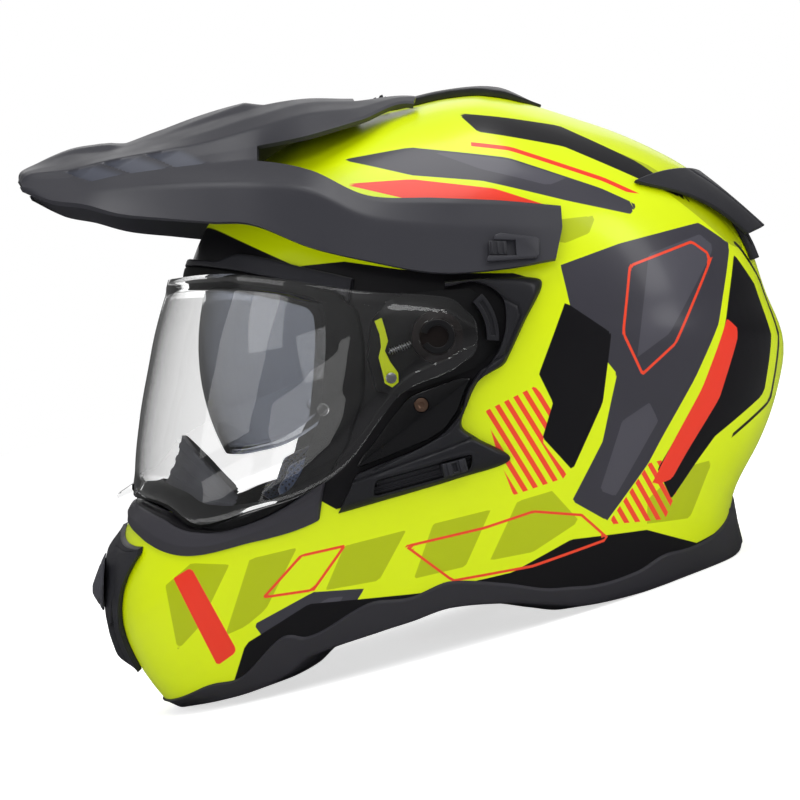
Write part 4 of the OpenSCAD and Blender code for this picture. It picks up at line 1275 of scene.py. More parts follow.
@dataclass
class Livery:
    """Printed shapes of the shell as polygons of the side view, in worn millimetres.

    The design is a plain sport one of its own: slanted shards, bars and thin
    outlines, the same on both sides.
    """

    tone: tuple = (
        ((-132, -124), (-119, -112), (-100, -112), (-115, -144), (-126, -157)),
        ((-90, -109), (-67, -103), (-82, -134), (-92, -143), (-102, -148)),
        ((-44, -102), (-14, -94), (-27, -119), (-53, -124)),
        ((-1, -91), (27, -84), (15, -112), (-10, -118)),
        ((40, -80), (57, -75), (71, -90), (48, -105), (27, -109)),
        ((106, -80), (123, -65), (143, -61), (130, -90), (106, -92)),
        ((56, 57), (80, 60), (76, 51), (64, 46), (38, 50)),
        ((86, 98), (111, 88), (135, 72), (149, 63), (164, 46), (154, 47), (130, 65)),
        ((4, 72), (38, 67), (48, 48), (9, 53)),
    )
    charcoal: tuple = (
        ((61, 35), (91, 46), (135, 58), (153, 48), (143, 7), (130, -20), (106, -62), (85, -90),
         (67, -80), (82, -51), (89, -18), (67, 8)),
        ((-44, 89), (-10, 95), (38, 89), (84, 74), (102, 66), (98, 61), (67, 67), (24, 77),
         (-10, 80)),
        ((-88, -142), (-59, -125), (-34, -123), (-49, -148), (-77, -157)),
    )
    ash: tuple = (
        ((106, 41), (135, 52), (143, 46), (116, 2), (99, -10)),
        ((92, -41), (106, -32), (111, -41), (89, -78), (81, -75)),
        ((-1, 93), (38, 88), (67, 79), (57, 75), (24, 83)),
        ((-70, -140), (-52, -128), (-44, -127), (-59, -148)),
    )
    coal: tuple = (
        ((-101, -183), (-92, -152), (-61, -131), (-5, -125), (38, -115), (67, -99), (106, -95),
         (135, -103), (160, -94), (178, -128), (106, -157), (-59, -186)),
        ((155, 43), (168, 28), (176, 2), (172, -28), (143, -49), (119, -80), (111, -65),
         (137, -24), (147, 8)),
        ((15, 114), (67, 108), (106, 89), (135, 67), (111, 77), (67, 96), (24, 103)),
        ((63, 17), (86, 2), (82, -32), (67, -65), (52, -49), (57, -32), (50, -18)),
        ((-66, 35), (-44, 37), (-18, 33), (9, 31), (38, 31), (50, 27.5), (49, 22), (41, 7),
         (33, -9), (29, -14), (19, -21), (13, -33), (10, -43), (18, -49), (32, -59), (10, -67),
         (-27, -78), (-48, -84), (-66, -74), (-61, -32), (-64, 2)),
    )
    ember: tuple = (
        ((-128, -120), (-119, -114), (-96, -156), (-106, -164)),
        ((148, 10), (155, 4), (144, -30), (119, -70), (107, -74), (134, -25)),
        ((-44, 76), (-10, 78), (30, 73), (64, 62), (26, 63), (-10, 67)),
    )
    bar_field: tuple = (
        ((85, -92), (106, -62), (130, -57), (116, -90)),
        ((24, -36), (48, -24), (57, -34), (52, -51), (65, -68), (38, -77), (30, -57)),
    )
    outline: tuple = (
        ((-14, -102), (24, -93), (48, -85), (72, -87), (86, -99), (48, -112), (9, -119)),
        ((96, 35), (130, 48), (141, 41), (119, -3), (102, -18), (92, 2)),
        ((-83, -128), (-65, -107), (-44, -102), (-59, -124)),
    )
    pin_field: tuple = (
        ((20, 86), (100, 72), (126, 71), (150, 80), (170, 96), (120, 116), (20, 124)),
    )
    rear_field: tuple = (
        ((152, 66), (182, 40), (186, -60), (160, -96), (150, -60), (168, 0)),
    )
    bar_slant: float = math.radians(58.0)
    port_edge: float = 0.045
    shapes: tuple[str, ...] = (
        "tone", "charcoal", "ash", "coal", "ember", "bar_field", "outline", "pin_field",
        "rear_field",
    )

    def distances(self, worn: Points, v: Points) -> dict[str, Points]:
        """Signed distance of each colour's shapes at points of the shell.

        The bars have instead the distance across their direction, and black also
        runs along the eye port, where v is low.

        Args:
            worn: points in worn millimetres.
            v: share of the way from the eye port to the rim at each point.

        Returns:
            One array a colour, positive where the colour shows.
        """
        side = worn[..., [0, 2]]
        found = {
            name: np.max([edge_distance(side, s) for s in getattr(self, name)], axis=0)
            for name in self.shapes
        }
        found["coal"] = np.maximum(found["coal"], (self.port_edge - v) * 200)
        found["bars"] = side @ np.array([math.sin(self.bar_slant), math.cos(self.bar_slant)]) + 500
        return found


@dataclass
class Shell:
    """The painted shell, its rim trim, the eye port's gasket and the black bands."""

    stations: int = 400
    cells_v: int = 108
    wall: float = 4.0
    trim_proud: float = 1.5
    trim_flange: float = 26.0
    trim_flange_t: float = 4.0
    seat: float = 0.3
    trim_edge: tuple = (
        (0, 172, 0), (30, 158, 52), (55, 127, 80), (75, 108, 92), (88, 78, 103.5, -132),
        (95, 60, 108, -131.5), (105, 37, 111, -130.5), (115, 8, 110.5, -133),
        (121, -10, 108, -139.5), (130, -26, 104, -145), (145, -60, 93, -158),
        (152, -72, 84, -168), (160, -88, 72, -177), (170, -106, 54, -184),
        (180, -125, 0, -193),
    )
    livery: Livery = field(default_factory=Livery)

    def stations_at(self) -> Points:
        """Station angles round the eye port, without the closing one."""
        return turned(np.arange(self.stations) * 360 / self.stations)

    def shell(self) -> Object:
        """The shell: direction(u, v) pushed out to the superellipsoid, and a wall inside it.

        Returns:
            The shell's object.
        """
        u, v = grid(self.stations_at(), np.linspace(0, 1, self.cells_v + 1))
        d = FORM.grid_dir(u, v)
        points, faces = two_skins(FORM.surface(d), FORM.surface(d, -self.wall), wrap=True)
        return Piece("shell_painted", replaces=("outer_shell",)).make(
            points, faces, Finish.PAINT.get(),
            attributes=self.livery.distances(points, np.tile(v.ravel(), 2)),
        )

    def trim_low(self, u: Points) -> Points:
        """Lower edge of the rim trim at station u.

        Args:
            u: station angles round the eye port, in degrees.

        Returns:
            The points.
        """
        full = [row if len(row) > 3 else (*row, STANCE.ground(row[1])) for row in self.trim_edge]
        t = turned(u)
        row = along(full, np.abs(t))
        z = np.maximum(row[..., 3], STANCE.ground(row[..., 1]))
        return np.stack([row[..., 1], np.where(t < 0, 1, -1) * row[..., 2], z], -1)

    def trim_in(self, u: Points, depth: Points, rise: Points) -> Points:
        """A point of the trim's flange, in towards the neck opening and up.

        Args:
            u: station angles round the eye port, in degrees.
            depth: millimetres inwards.
            rise: millimetres upwards.

        Returns:
            The points.
        """
        p = self.trim_low(u)
        c = np.stack([np.full(p.shape[:-1], 10.0), np.zeros(p.shape[:-1]), p[..., 2]], -1)
        k = depth / np.hypot(p[..., 0] - 10, p[..., 1])
        q = lerp(p, c, k[..., None])
        q[..., 2] += rise + math.tan(STANCE.tilt) * (q[..., 0] - p[..., 0])
        return q

    def trim(self) -> Object:
        """The rim trim: six-cornered sections swept round the rim, corners rounded.

        Returns:
            The trim's object.
        """
        u = self.stations_at()
        rim = FORM.rim_dir(u)
        corners = np.stack(
            [FORM.surface(rim, self.trim_proud), self.trim_low(u),
             self.trim_in(u, self.trim_flange, 0),
             self.trim_in(u, self.trim_flange, self.trim_flange_t),
             self.trim_in(u, self.wall + 3, self.trim_flange_t), FORM.surface(rim, -self.wall)], 1,
        )
        sections = rounded_corners(corners, [0.8, 2.4, 1.5, 1.5, 2, 1], 5)
        return Piece("rim_trim", replaces=("base_trim",)).tube(sections, Finish.TRIM, closed=True)

    def gasket(self, visor: "Visor") -> Object:
        """The eye port's gasket: a rounded lip over the edge, kept behind the visor.

        Args:
            visor: the visor, which the edge stays under.

        Returns:
            The gasket's object.
        """
        u = self.stations_at()
        outer, inner = FORM.eye_dir(u), FORM.eye_dir(u, 0.05)
        low = -6 - 8 * ease((np.abs(u) - 122) / 22)
        lip = 2.6 * (1 - ease((np.abs(u) - 135) / 15))
        corners = np.stack(
            [visor.kept_under(FORM.surface(outer, lip)), FORM.surface(outer, low),
             FORM.surface(inner, low), visor.kept_under(FORM.surface(inner, lip - 1))], 1,
        )
        sections = rounded_corners(corners, [1.6, 0.8, 0.8, 1.6], 5)
        return Piece("eyeport_seal", replaces=("eyeport_gasket",)).tube(
            sections, Finish.RUBBER, closed=True
        )

    def build(self, visor: "Visor") -> None:
        """Makes the shell's pieces.

        Args:
            visor: the visor, which the edge stays under.
        """
        self.shell()
        self.trim()
        self.gasket(visor)


@dataclass
class Visor:
    """The clear visor and the smoke sun visor behind it."""

    wall: float = 2.2
    stand: float = 9.5
    hub_r: float = 8.5
    run_gap: float = 0.35
    rest_gap: float = 0.6
    outline: tuple = (
        (-60, 232), (-45, 209), (-38, 190), (-33, 177.5), (-28.3, 169.7), (-22.7, 161.5),
        (-16, 152.8), (-6.8, 143.7), (2, 138.5), (9.5, 135.4), (13, 134.8), (40, 134.5),
        (90, 134.5), (180, 134.5), (270, 160), (300, 232),
    )
    top: tuple = (
        (-131, 0, 30.5), (-127, 36, 31), (-117, 64, 32), (-99, 87, 31.5), (-75, 106, 28),
        (-50, 119, 23.5), (-28, 127, 20.5), (-9, 132, 20), (7, 134, 18), (15.5, 134, 10.5),
    )
    low: tuple = (
        (-150, 0, -80), (-147, 40, -84), (-139, 68, -90), (-121, 90, -98), (-92, 109, -87),
        (-64, 120, -76), (-42, 126, -60), (-18, 131, -28), (5, 134, -17), (15.5, 134, -10),
    )
    finger_tab: tuple = ((-148.4, -74), (-158.4, -80.6), (-158.2, -82.4), (-148.4, -78.6))
    sun_r: float = 116.0
    sun_wall: float = 2.0
    sun_inset: float = 16.0
    sun_top: tuple = (
        (-109, 0, 37), (-103, 34, 37), (-89, 64, 36), (-71, 84, 33), (-50, 98, 26),
        (-28, 106, 12), (-10, 109, 9), (8, 109, 7),
    )
    sun_low: tuple = (
        (-101, 0, -58), (-98, 30, -59), (-86, 58, -57), (-70, 78, -52), (-53, 93, -40),
        (-28, 106, -12), (-10, 109, -9), (8, 109, -7),
    )
    sun_pin_r: float = 3.5
    band: float = 6.2
    band_fade: float = 0.9
    ear_share: float = 0.07
    columns: int = 150
    rows: int = 50

    def surface(self, d: Points, off: float = 0.0) -> Points:
        """Point in direction d on the visor: an ellipse over its front outline.

        Args:
            d: directions from the head centre.
            off: millimetres outwards.

        Returns:
            The points.
        """
        a = side_angle(d)
        radius = along(self.outline, np.where(a < -60, a + 360, a))[..., 1] + off
        half = FORM.half_w + self.stand + off
        q = (np.hypot(d[..., 0], d[..., 2]) / radius) ** 2 + (d[..., 1] / half) ** 2
        return d / np.sqrt(q)[..., None]

    def kept_under(self, p: Points) -> Points:
        """Points drawn in where they would touch the visor's inner face.

        Args:
            p: the points to keep under the visor.

        Returns:
            The points, moved where they had to be.
        """
        v = self.surface(p, -self.wall - self.rest_gap)
        near = norm(v) < norm(p)
        return np.where(near[..., None], v, p)

    def sun_surface(self, d: Points, off: float = 0.0) -> Points:
        """Point in direction d on the sun visor, which draws in slightly upwards.

        Args:
            d: directions from the head centre.
            off: millimetres outwards.

        Returns:
            The points.
        """
        a = side_angle(d)
        r = self.sun_r + off - 0.05 * a * bulge(unit(d)[..., 1], 2)
        half = FORM.half_w - self.sun_inset + off
        q = (np.hypot(d[..., 0], d[..., 2]) / r) ** 2.2 + (np.abs(d[..., 1]) / half) ** 2.2
        return d * (q ** (-1 / 2.2))[..., None]

    def _pane(
        self, edges: tuple[tuple, tuple], face: Callable[[Points, float], Points], wall: float,
        piece: Piece, hole: float, material: Material, rim: float = 0.0,
        ear: float = 0.0,
    ) -> Object:
        """A curved pane between two edges, with a round hole on the hinge at each end.

        The outer face stands up by the rim's height along both edges.

        Args:
            edges: upper and lower edge from the middle to the ear.
            face: the pane's surface by direction and offset.
            wall: its thickness.
            piece: name, body and nodes.
            hole: radius of the hole.
            material: its finish.
            rim: height of the band along the edges.
            ear: how far each end is rounded out behind the hinge.

        Returns:
            The pane.
        """
        s, t = grid(np.linspace(-1, 1, 2 * self.columns + 1), np.linspace(1, 0, self.rows + 1))
        ends = []
        for edge in edges:
            p = rail(edge, (len(edge) - 1) * np.abs(s))
            p[..., 1] *= np.where(s < 0, 1, -1)
            ends.append(p)
        d = arc_between(ends[0], ends[1], t[..., None])
        swell = ease((np.abs(s) - 1) / self.ear_share + 1) * bulge(2 * t - 1, 2)
        d[..., 0] += ear / norm(ends[0]) * swell
        bare = face(d, 0.0)
        height = norm(bare[:, :1] - bare[:, -1:])
        from_edge = np.minimum(t, 1 - t) * height
        step = 1 - ease((from_edge - self.band) / self.band_fade)
        outer = bare + unit(bare) * (rim * step)[..., None]
        pane = piece.make(*two_skins(outer, face(d, -wall)), material)
        join_or_cut(pane, *prism(circle((0, 0), hole, 64), -200, 200), "DIFFERENCE")
        return pane

    def build(self) -> None:
        """Makes both panes."""
        clear = self._pane(
            (self.top, self.low), self.surface, self.wall,
            Piece("visor_clear", "visor", ("visor_shield",)), self.hub_r + self.run_gap,
            Finish.CLEAR.get(), rim=0.7, ear=4.0,
        )
        tab = rounded_outline(self.finger_tab, 1.2, 28)
        join_or_cut(clear, *prism(tab, -14, 14), "UNION")
        soften_edges(clear, 0.5)
        smoke = self._pane(
            (self.sun_top, self.sun_low), self.sun_surface, self.sun_wall,
            Piece("sun_visor_smoke", "sun_visor", ("sun_visor",)), self.sun_pin_r + self.run_gap,
            Finish.SMOKE.get(),
        )
        soften_edges(smoke, 0.5)


@dataclass
class Peak:
    """The peak: rails from the middle out to the lower edge, each through the same stations."""

    wall: float = 2.6
    per_station: int = 16
    per_rail: int = 12
    crease: float = 0.1
    scoop_depth: float = 5.6
    scoop_start: float = 2.12
    scoop_pitch: float = 0.9
    scoops: int = 3
    crease_rail: int = 4
    bridge_back: int = 8
    prongs_back: int = 9
    window_back: int = 6
    fins: tuple = ((-200, 0), (-167, 2.6), (-162, 2.4), (-154, 0), (-134, 0), (-92, 3.0), (-82, 0))
    rails: tuple = (
        ((-210, 0, 82), (-207, 0, 88.5), (-184, 0, 98), (-160, 0, 101), (-135, 0, 110),
         (-112, 0, 117), (-88, 0, 122), (-62, 0, 125.5), (-36, 0, 125.5), (-4, 0, 124),
         (32, 0, 118), (62, 0, 110)),
        ((-209, 12, 82), (-206, 12, 88), (-184, 13, 96), (-160, 14, 98.5), (-135, 15, 106),
         (-112, 16, 113), (-88, 20, 120), (-62, 22, 124.5), (-36, 21, 124.8),
         (-4, 20, 126), (32, 19, 118), (62, 19, 110)),
        ((-207.5, 28, 81), (-203, 28, 86), (-183, 30, 90), (-160, 32, 94.5),
         (-135, 34, 99.5), (-112, 36, 106), (-88, 38, 113.5), (-62, 41, 120.5),
         (-36, 38, 122), (-4, 29, 125.5), (32, 30, 115), (62, 30, 107)),
        ((-206.5, 34, 80), (-201, 36, 84), (-181, 42, 86), (-160, 45, 91),
         (-135, 47, 95.5), (-112, 49, 99.5), (-88, 52, 106), (-62, 60, 113),
         (-36, 54, 117), (-4, 37, 124.3), (32, 40, 110), (62, 40, 100)),
        ((-206, 36, 79), (-200, 39, 81), (-179, 48, 81.5), (-158, 52, 86.5),
         (-133, 54, 90.5), (-110, 56, 93), (-86, 60, 97), (-62, 77, 101),
         (-34, 68, 110.5), (-6, 45, 121), (32, 60, 100), (62, 60, 90)),
        ((-205.5, 38, 78), (-199, 43, 78.5), (-177, 55, 77.5), (-156, 60, 81.5),
         (-131, 62, 85), (-110, 63, 87.5), (-86, 68, 89), (-60, 99.5, 82),
         (-33, 120, 68), (0, 124, 66.5), (32, 120, 66), (62, 114.5, 64)),
        ((-205.5, 39, 77.5), (-198, 47, 76), (-175, 62, 73.5), (-154, 70, 74.5),
         (-129, 79, 76), (-108, 86, 76.5), (-86, 95, 76), (-60, 113.5, 71.5),
         (-33, 127, 58), (0, 130.5, 53.5), (32, 126.5, 53.5), (62, 120.5, 53.5)),
        ((-206.5, 37.5, 77), (-190, 60, 69.5), (-172, 73, 66.5), (-154, 80, 61.5),
         (-131, 87, 59), (-109, 94, 57), (-89, 102.5, 55.5), (-62, 120, 43.8),
         (-33, 132, 36.5), (0, 135.5, 30.8), (32, 132.5, 33), (58, 128.5, 38)),
    )

    def scoop(self, t: Points, k: Points) -> Points:
        """Depth of the three scoops along the flank crease at station t and rail k.

        Each starts at a slanted wall, deepest, and its floor rises evenly to the
        skin before the next one.

        Args:
            t: stations along the peak.
            k: rails, counted from the middle, and places between them.

        Returns:
            The depths, in millimetres.
        """
        s = t - self.scoop_start - 0.3 * (k - self.crease_rail)
        phase = (s % self.scoop_pitch) / self.scoop_pitch
        wave = ease(phase / 0.12) * np.clip((0.92 - phase) / 0.8, 0, 1)
        spread = 1 - ease((np.abs(k - self.crease_rail) - 0.74) / 0.16)
        past = (s < 0) | (s > self.scoops * self.scoop_pitch)
        return np.where(past, 0, self.scoop_depth * wave * spread)

    def skin(self, k: Points, t: Points) -> Points:
        """Point at rail k and station t: straight between rails, creases rounded.

        Between rails the blend runs straight, and within a small share of a rail
        it follows the parabola that joins both straights.

        Args:
            k: rails, counted from the middle, and places between them.
            t: stations along the peak.

        Returns:
            The points.
        """
        rails = np.stack([rail(r, t[:, 0]) for r in self.rails])
        place = np.abs(k)
        nearest = np.clip(np.round(place), 1, len(self.rails) - 2).astype(int)
        gap = place - nearest
        soft = np.where(
            np.abs(gap) < self.crease, (gap**2 / self.crease + self.crease) / 2, np.abs(gap)
        )
        here = np.arange(t.shape[0])[:, None]
        middle = rails[nearest, here]
        ahead, behind = rails[nearest + 1, here] - middle, rails[nearest - 1, here] - middle
        p = middle + ahead * ((soft + gap) / 2)[..., None]
        p = p + behind * ((soft - gap) / 2)[..., None]
        p[..., 1] *= np.where(k < 0, 1, -1)
        p[..., 2] += self.crest(p[..., 0]) * (1 - ease((place - 0.7) / 0.5))
        return p

    def crest(self, x: Points) -> Points:
        """Height of the two fins on the deck: each climbs to the rear, then steps down."""
        rows = np.array(self.fins)
        return np.interp(x, rows[:, 0], rows[:, 1])

    def build(self) -> None:
        """Makes the peak: the skin, its wall below, windows and prongs left open."""
        last = len(self.rails) - 1
        stations = len(self.rails[0]) - 1
        k = np.linspace(last, -last, 2 * last * self.per_rail + 1)
        t = np.linspace(0, stations, stations * self.per_station + 1)
        t_grid, k_grid = grid(t, k)
        outer = self.skin(k_grid, t_grid)
        lean = np.array([-0.5, 0, 0.87])
        out = unit(lerp(lean, grid_normals(outer), ease((t_grid - 0.4) / 1.6)[..., None]))
        inner = outer - self.wall * out
        scoop = self.scoop(t_grid, np.abs(k_grid))
        outer[..., 2] -= scoop
        inner[..., 2] -= np.maximum(0, scoop - self.wall + 1.4)
        mid_t = (t[:-1, None] + t[1:, None]) / 2
        mid_k = np.abs((k[None, :-1] + k[None, 1:]) / 2)
        window = (mid_k > 4) & (mid_k < 5) & (mid_t > self.window_back)
        prongs = (mid_k > 2) & (mid_k < 4) & (mid_t > self.prongs_back)
        bridge = (mid_k < 2) & (mid_t > self.bridge_back)
        skins = two_skins(outer, inner, keep=~(window | prongs | bridge))
        # The scoop floors carry the mask for the peak's lighter grey: a painted highlight on them.
        Piece("peak_painted", replaces=("peak",)).make(
            *skins, Finish.PEAK.get(),
            attributes={"inlay": np.tile(ease(scoop.ravel() / 1.6), 2)},
        )


@dataclass
class SidePods:
    """The raised black mouldings behind the visor's ears, their covers and the slider."""

    stations: int = 260
    rings: int = 44
    outer: tuple = (
        (4, 27), (24, 28.5), (45.5, 29), (51.5, 25), (43, 7.5), (35.6, -8.5), (32, -14),
        (21, -21), (15, -33), (12.5, -43), (20, -49), (36, -59.5), (10, -69), (-26.8, -80),
        (-47, -86),
    )
    inner: tuple = (
        (4, 24), (19, 26.5), (31, 20), (33.5, 9), (31.5, -3), (26, -13), (21, -17), (15, -26),
        (12, -36), (7, -43), (3, -47), (-1, -50), (-10, -55), (-26, -61.5), (-38.5, -67),
    )
    profile: tuple = (
        (0, 1.2), (0.05, 2.9), (0.12, 4.3), (0.22, 5.9), (0.36, 6.8), (0.6, 7.4), (0.88, 7.3),
        (1, 6.6),
    )
    grooves: tuple = (
        ((24.5, 22.6), (39.1, 15), (40.5, 10), (33.2, -8.4), (24.6, -14), (17.5, -24.5),
         (10.8, -40), (5.5, -46), (-30.6, -65)),
        ((18.2, -48.6), (4.6, -54), (-40.5, -70.5)),
    )
    seat: float = 0.3
    slot_from: tuple[float, float] = (-30.0, -73.5)
    slot_to: tuple[float, float] = (17.0, -60.5)
    slot_h: float = 7.5
    groove_depth: float = 1.1
    groove_half: float = 0.65
    lip_height: float = 0.6
    cover_outline: tuple = (
        (17.2, -19.5), (14, -26), (10.4, -36), (4, -45), (-4, -50), (-16, -55), (-30, -60.8),
        (-39, -64), (-36, -58), (-30, -51), (-22, -39.5), (-14, -29.5), (-7, -26.2), (2, -23),
        (10, -20),
    )
    cover_middle: tuple[float, float] = (-6.0, -38.0)
    screw: tuple[float, float] = (-7.4, -33.0)
    screw_hole: float = 3.75

    def slot_point(self, along_it: Points, across: Points) -> Points:
        """Place in the side view by a share along the slot and millimetres across it.

        Args:
            along_it: shares along the slot.
            across: millimetres across it.

        Returns:
            The places.
        """
        a, b = np.array(self.slot_from), np.array(self.slot_to)
        run = unit(b - a)
        up = np.array([-run[1], run[0]])
        lean = np.sign(across) * 1.5
        return (
            lerp(a, b, np.asarray(along_it)[..., None]) + lean[..., None] * run
            + np.asarray(across)[..., None] * up
        )

    def slot_outline(self) -> Points:
        """The slot's rounded outline.

        Returns:
            The outline's points in order.
        """
        h = self.slot_h / 2
        corners = self.slot_point(np.array([0, 1, 1, 0.0]), np.array([-h, -h, h, h]))
        return rounded_outline(corners, 2.2, 72)

    def pod(self, side: Side) -> None:
        """One pod: its side-view outlines joined by shares, rounded profile, fine grooves.

        The left one has the slot of the sun visor's slider, within a raised lip.

        Args:
            side: the side it is made for.
        """
        t, share = grid(np.linspace(0, 14, self.stations + 1), ends_close(0, 1, self.rings))
        spot = lerp(rail(self.outer, t), rail(self.inner, t), share[..., None])
        rise = along(self.profile, share)[..., 1]
        for groove in self.grooves:
            line = line_distance(spot, groove)
            rise = rise - self.groove_depth * hump(line, self.groove_half)
        if side is Side.LEFT:
            lip = edge_distance(spot, self.slot_outline()) + 1.0
            rise = rise + self.lip_height * hump(lip, 0.7)
        x, z = spot[..., 0], spot[..., 1]
        skins = [side.place(FORM.flank(x, z, off)) for off in (rise, self.seat)]
        pod = sided("flank", "side_pod", side).sheet(skins, Finish.BLACK)
        if side is Side.LEFT:
            join_or_cut(pod, *prism(self.slot_outline(), 100, 140), "DIFFERENCE")
        soften_edges(pod, 0.35)

    def track(self) -> None:
        """The slot's floor: three ridges along it."""
        t, across = grid(np.linspace(0.01, 0.99, 61), np.linspace(-1, 1, 49))
        spot = self.slot_point(t, across * (self.slot_h / 2 - self.seat))
        x, z = spot[..., 0], spot[..., 1]
        rib = 1.3 + 0.9 * ease(0.5 + 1.2 * np.cos(across * 3 * math.pi))
        skins = [FORM.flank(x, z, off) for off in (rib, self.seat)]
        Piece("slider_rack", replaces=("slider_track",)).sheet(skins, Finish.VENT)

    def cover(self, side: Side) -> None:
        """The glossy cover: rings out to its outline, crowned, with a rounded edge.

        Args:
            side: the side it is made for.
        """
        def top(x: Points, z: Points, share: Points) -> Points:
            """Half width of the cover's face.

            Args:
                x: places along the side view.
                z: heights in it.
                share: shares of the way out to the outline.

            Returns:
                The half widths.
            """
            edge = np.clip((np.asarray(share) - 0.93) / 0.07, 0, 1)
            drop = 1.2 * np.asarray(share) ** 2 + 1.4 * (1 - np.sqrt(1 - 0.98 * edge**2))
            return FORM.side_y(x, z, 6.4 - drop)

        def foot(x: Points, z: Points, share: Points) -> Points:
            """Half width of its back."""
            return FORM.side_y(x, z, self.seat + 0 * share)

        shares = np.append(np.linspace(0.06, 0.9, 22), [0.93, 0.95, 0.97, 0.985, 0.995, 1])
        points, faces = pad_mesh(
            rounded_outline(self.cover_outline, 2.5, 200), self.cover_middle, shares, foot, top
        )
        cover = sided("gloss", "side_cover", side).make(
            side.place(points), faces, Finish.GLOSS.get()
        )
        depth = float(FORM.side_y(*np.array(self.screw), 6.2))
        hole, ends = prism(circle(self.screw, self.screw_hole, 48), depth - 2.2, depth + 4)
        join_or_cut(cover, side.place(hole), ends, "DIFFERENCE")
        soften_edges(cover, 0.3)

    def build(self) -> None:
        """Makes both pods and covers, and the left one's track."""
        for side in Side:
            self.pod(side)
            self.cover(side)
        self.track()


@dataclass
class FrontParts:
    """Bands round the eye port, the chin vent with its shutter, and the breath deflector."""

    seat: float = 0.3
    vent_half: float = 54.0
    brow_top: tuple = (
        (0, 15, 0), (40, 15.4, 0.47), (48, 17.8, 0.575), (70, 19.2, 0.8), (84, 20.5, 0.88),
        (92, 21.5, 0.915),
    )
    band_low: tuple = (
        (118, -45.5, 0.915), (126, -44, 0.885), (133, -40.5, 0.828), (140, -38.1, 0.774),
        (148, -35.3, 0.667), (160, -29.9, 0.447), (170, -27.4, 0.25), (180, -26.2, 0),
    )
    vent_low: tuple = ((0, -43.5), (10, -43), (15, -39), (27, -35.6), (40, -33.2), (54, -31.2))
    inlet: tuple = ((5, 0.6), (16, 0.62), (14.5, 0.8), (9, 0.9), (5, 0.9))
    panel_line: tuple = ((3, 4), (24, 6), (50, 7))
    nose_half: float = 24.0
    slat_pitch: float = 4.2
    vent_tall: float = 52.0
    shutter_half: float = 15.0
    shutter_base: float = 9.0
    shield_offs: tuple[float, float] = (-18.0, -15.6)
    shield_spread: float = 30.0

    def brow(self, visor: Visor) -> None:
        """The strip over the eye port, from its edge up to a line by angle and share.

        Args:
            visor: the visor, which the edge stays under.
        """
        u, j = grid(np.linspace(-87, 87, 181), np.linspace(0.06, 1, 13))
        row = along(self.brow_top, np.abs(u))
        above = FORM.direction(row[..., 1], np.sign(u) * row[..., 2])
        d = lerp(FORM.eye_dir(u), above, j[..., None])
        crown = 2.8 - 0.7 * np.abs(2 * j - 1) ** 6
        skins = [visor.kept_under(FORM.surface(d, off)) for off in (crown, self.seat)]
        Piece("brow_band", replaces=("brow_strip",)).sheet(skins, Finish.VENT, 0.3)

    def band(self) -> None:
        """The band under the eye port: two faces that meet on a crease half way."""
        u, j = grid(np.linspace(125, 235, 221), np.linspace(0.06, 1, 25))
        row = along(self.band_low, np.abs(turned(u)))
        below = FORM.direction(row[..., 1], np.sign(turned(u)) * row[..., 2])
        d = lerp(FORM.eye_dir(u), below, j[..., None])
        crease = np.interp(j, (0.06, 0.2, 0.5, 0.54, 1), (1.6, 2.6, 3.5, 3.4, 1.6))
        skins = [FORM.surface(d, off) for off in (crease, self.seat)]
        Piece("port_lower_band", replaces=("lower_cover",)).sheet(skins, Finish.BAND, 0.3)

    def vent_point(self, w: Points, t: Points, proud: Points) -> Points:
        """Point of the chin vent by millimetres across and a share of the way down.

        Args:
            w: millimetres across.
            t: shares of the way down.
            proud: millimetres outwards.

        Returns:
            The points.
        """
        top = -26.9 - 3.6 * np.abs(w) / self.vent_half
        low = along(self.vent_low, np.abs(w))[..., 1]
        return FORM.surface(FORM.direction(lerp(top, low, t), w / FORM.half_w), proud)

    def vent(self) -> None:
        """The chin vent: a nose in its middle, panel lines and a dark inlet at each side."""
        w, t = grid(np.linspace(self.vent_half, -self.vent_half, 217), np.linspace(0, 1, 71))
        size = np.abs(w)
        nose = (1 - ease(size / self.nose_half)) * ease(t / 0.12) * (1 - ease((t - 0.8) / 0.2))
        rise = 3.2 + 5.5 * nose
        plan = np.stack([size, t * self.vent_tall], -1)
        hole = edge_distance(plan, [(a, b * self.vent_tall) for a, b in self.inlet])
        mouth = ease((hole + 0.2) / 0.8)
        slats = 0.55 + 0.45 * ease(0.5 - 1.4 * np.sin(plan[..., 1] * 2 * math.pi / self.slat_pitch))
        depth = np.minimum(rise - 0.9, 5.5) * mouth * slats
        line = line_distance(plan, self.panel_line)
        rise = rise - depth - 0.7 * hump(line, 0.6)
        skins = [self.vent_point(w, t, rise), self.vent_point(w, t, self.seat)]
        Piece("chin_vent_body", replaces=("chin_vent_frame",)).sheet(skins, Finish.VENT, 0.3)

    def shutter(self) -> None:
        """The shutter: a cut diamond of four faces round a blunt tip, with a panel line."""
        i, j = grid(np.linspace(1, -1, 65), np.linspace(0, 1, 65))
        size = np.abs(i)
        t = lerp(0.14 + 0.06 * size, 0.5 - 0.1 * size, j)
        face = 1 - np.maximum(size, np.abs(2 * j - 1))
        lift = 0.9 + 5.6 * np.minimum(face, 0.86) / 0.86
        lift = lift - 0.5 * hump(face - 0.26, 0.035)
        across, base = self.shutter_half * i, self.shutter_base
        skins = [self.vent_point(across, t, base + rise) for rise in (lift, 0 * lift)]
        Piece(
            "chin_shutter_diamond", "chin_shutter", ("chin_vent_shutter",), smooth_angle=14
        ).sheet(skins, Finish.SHUTTER)

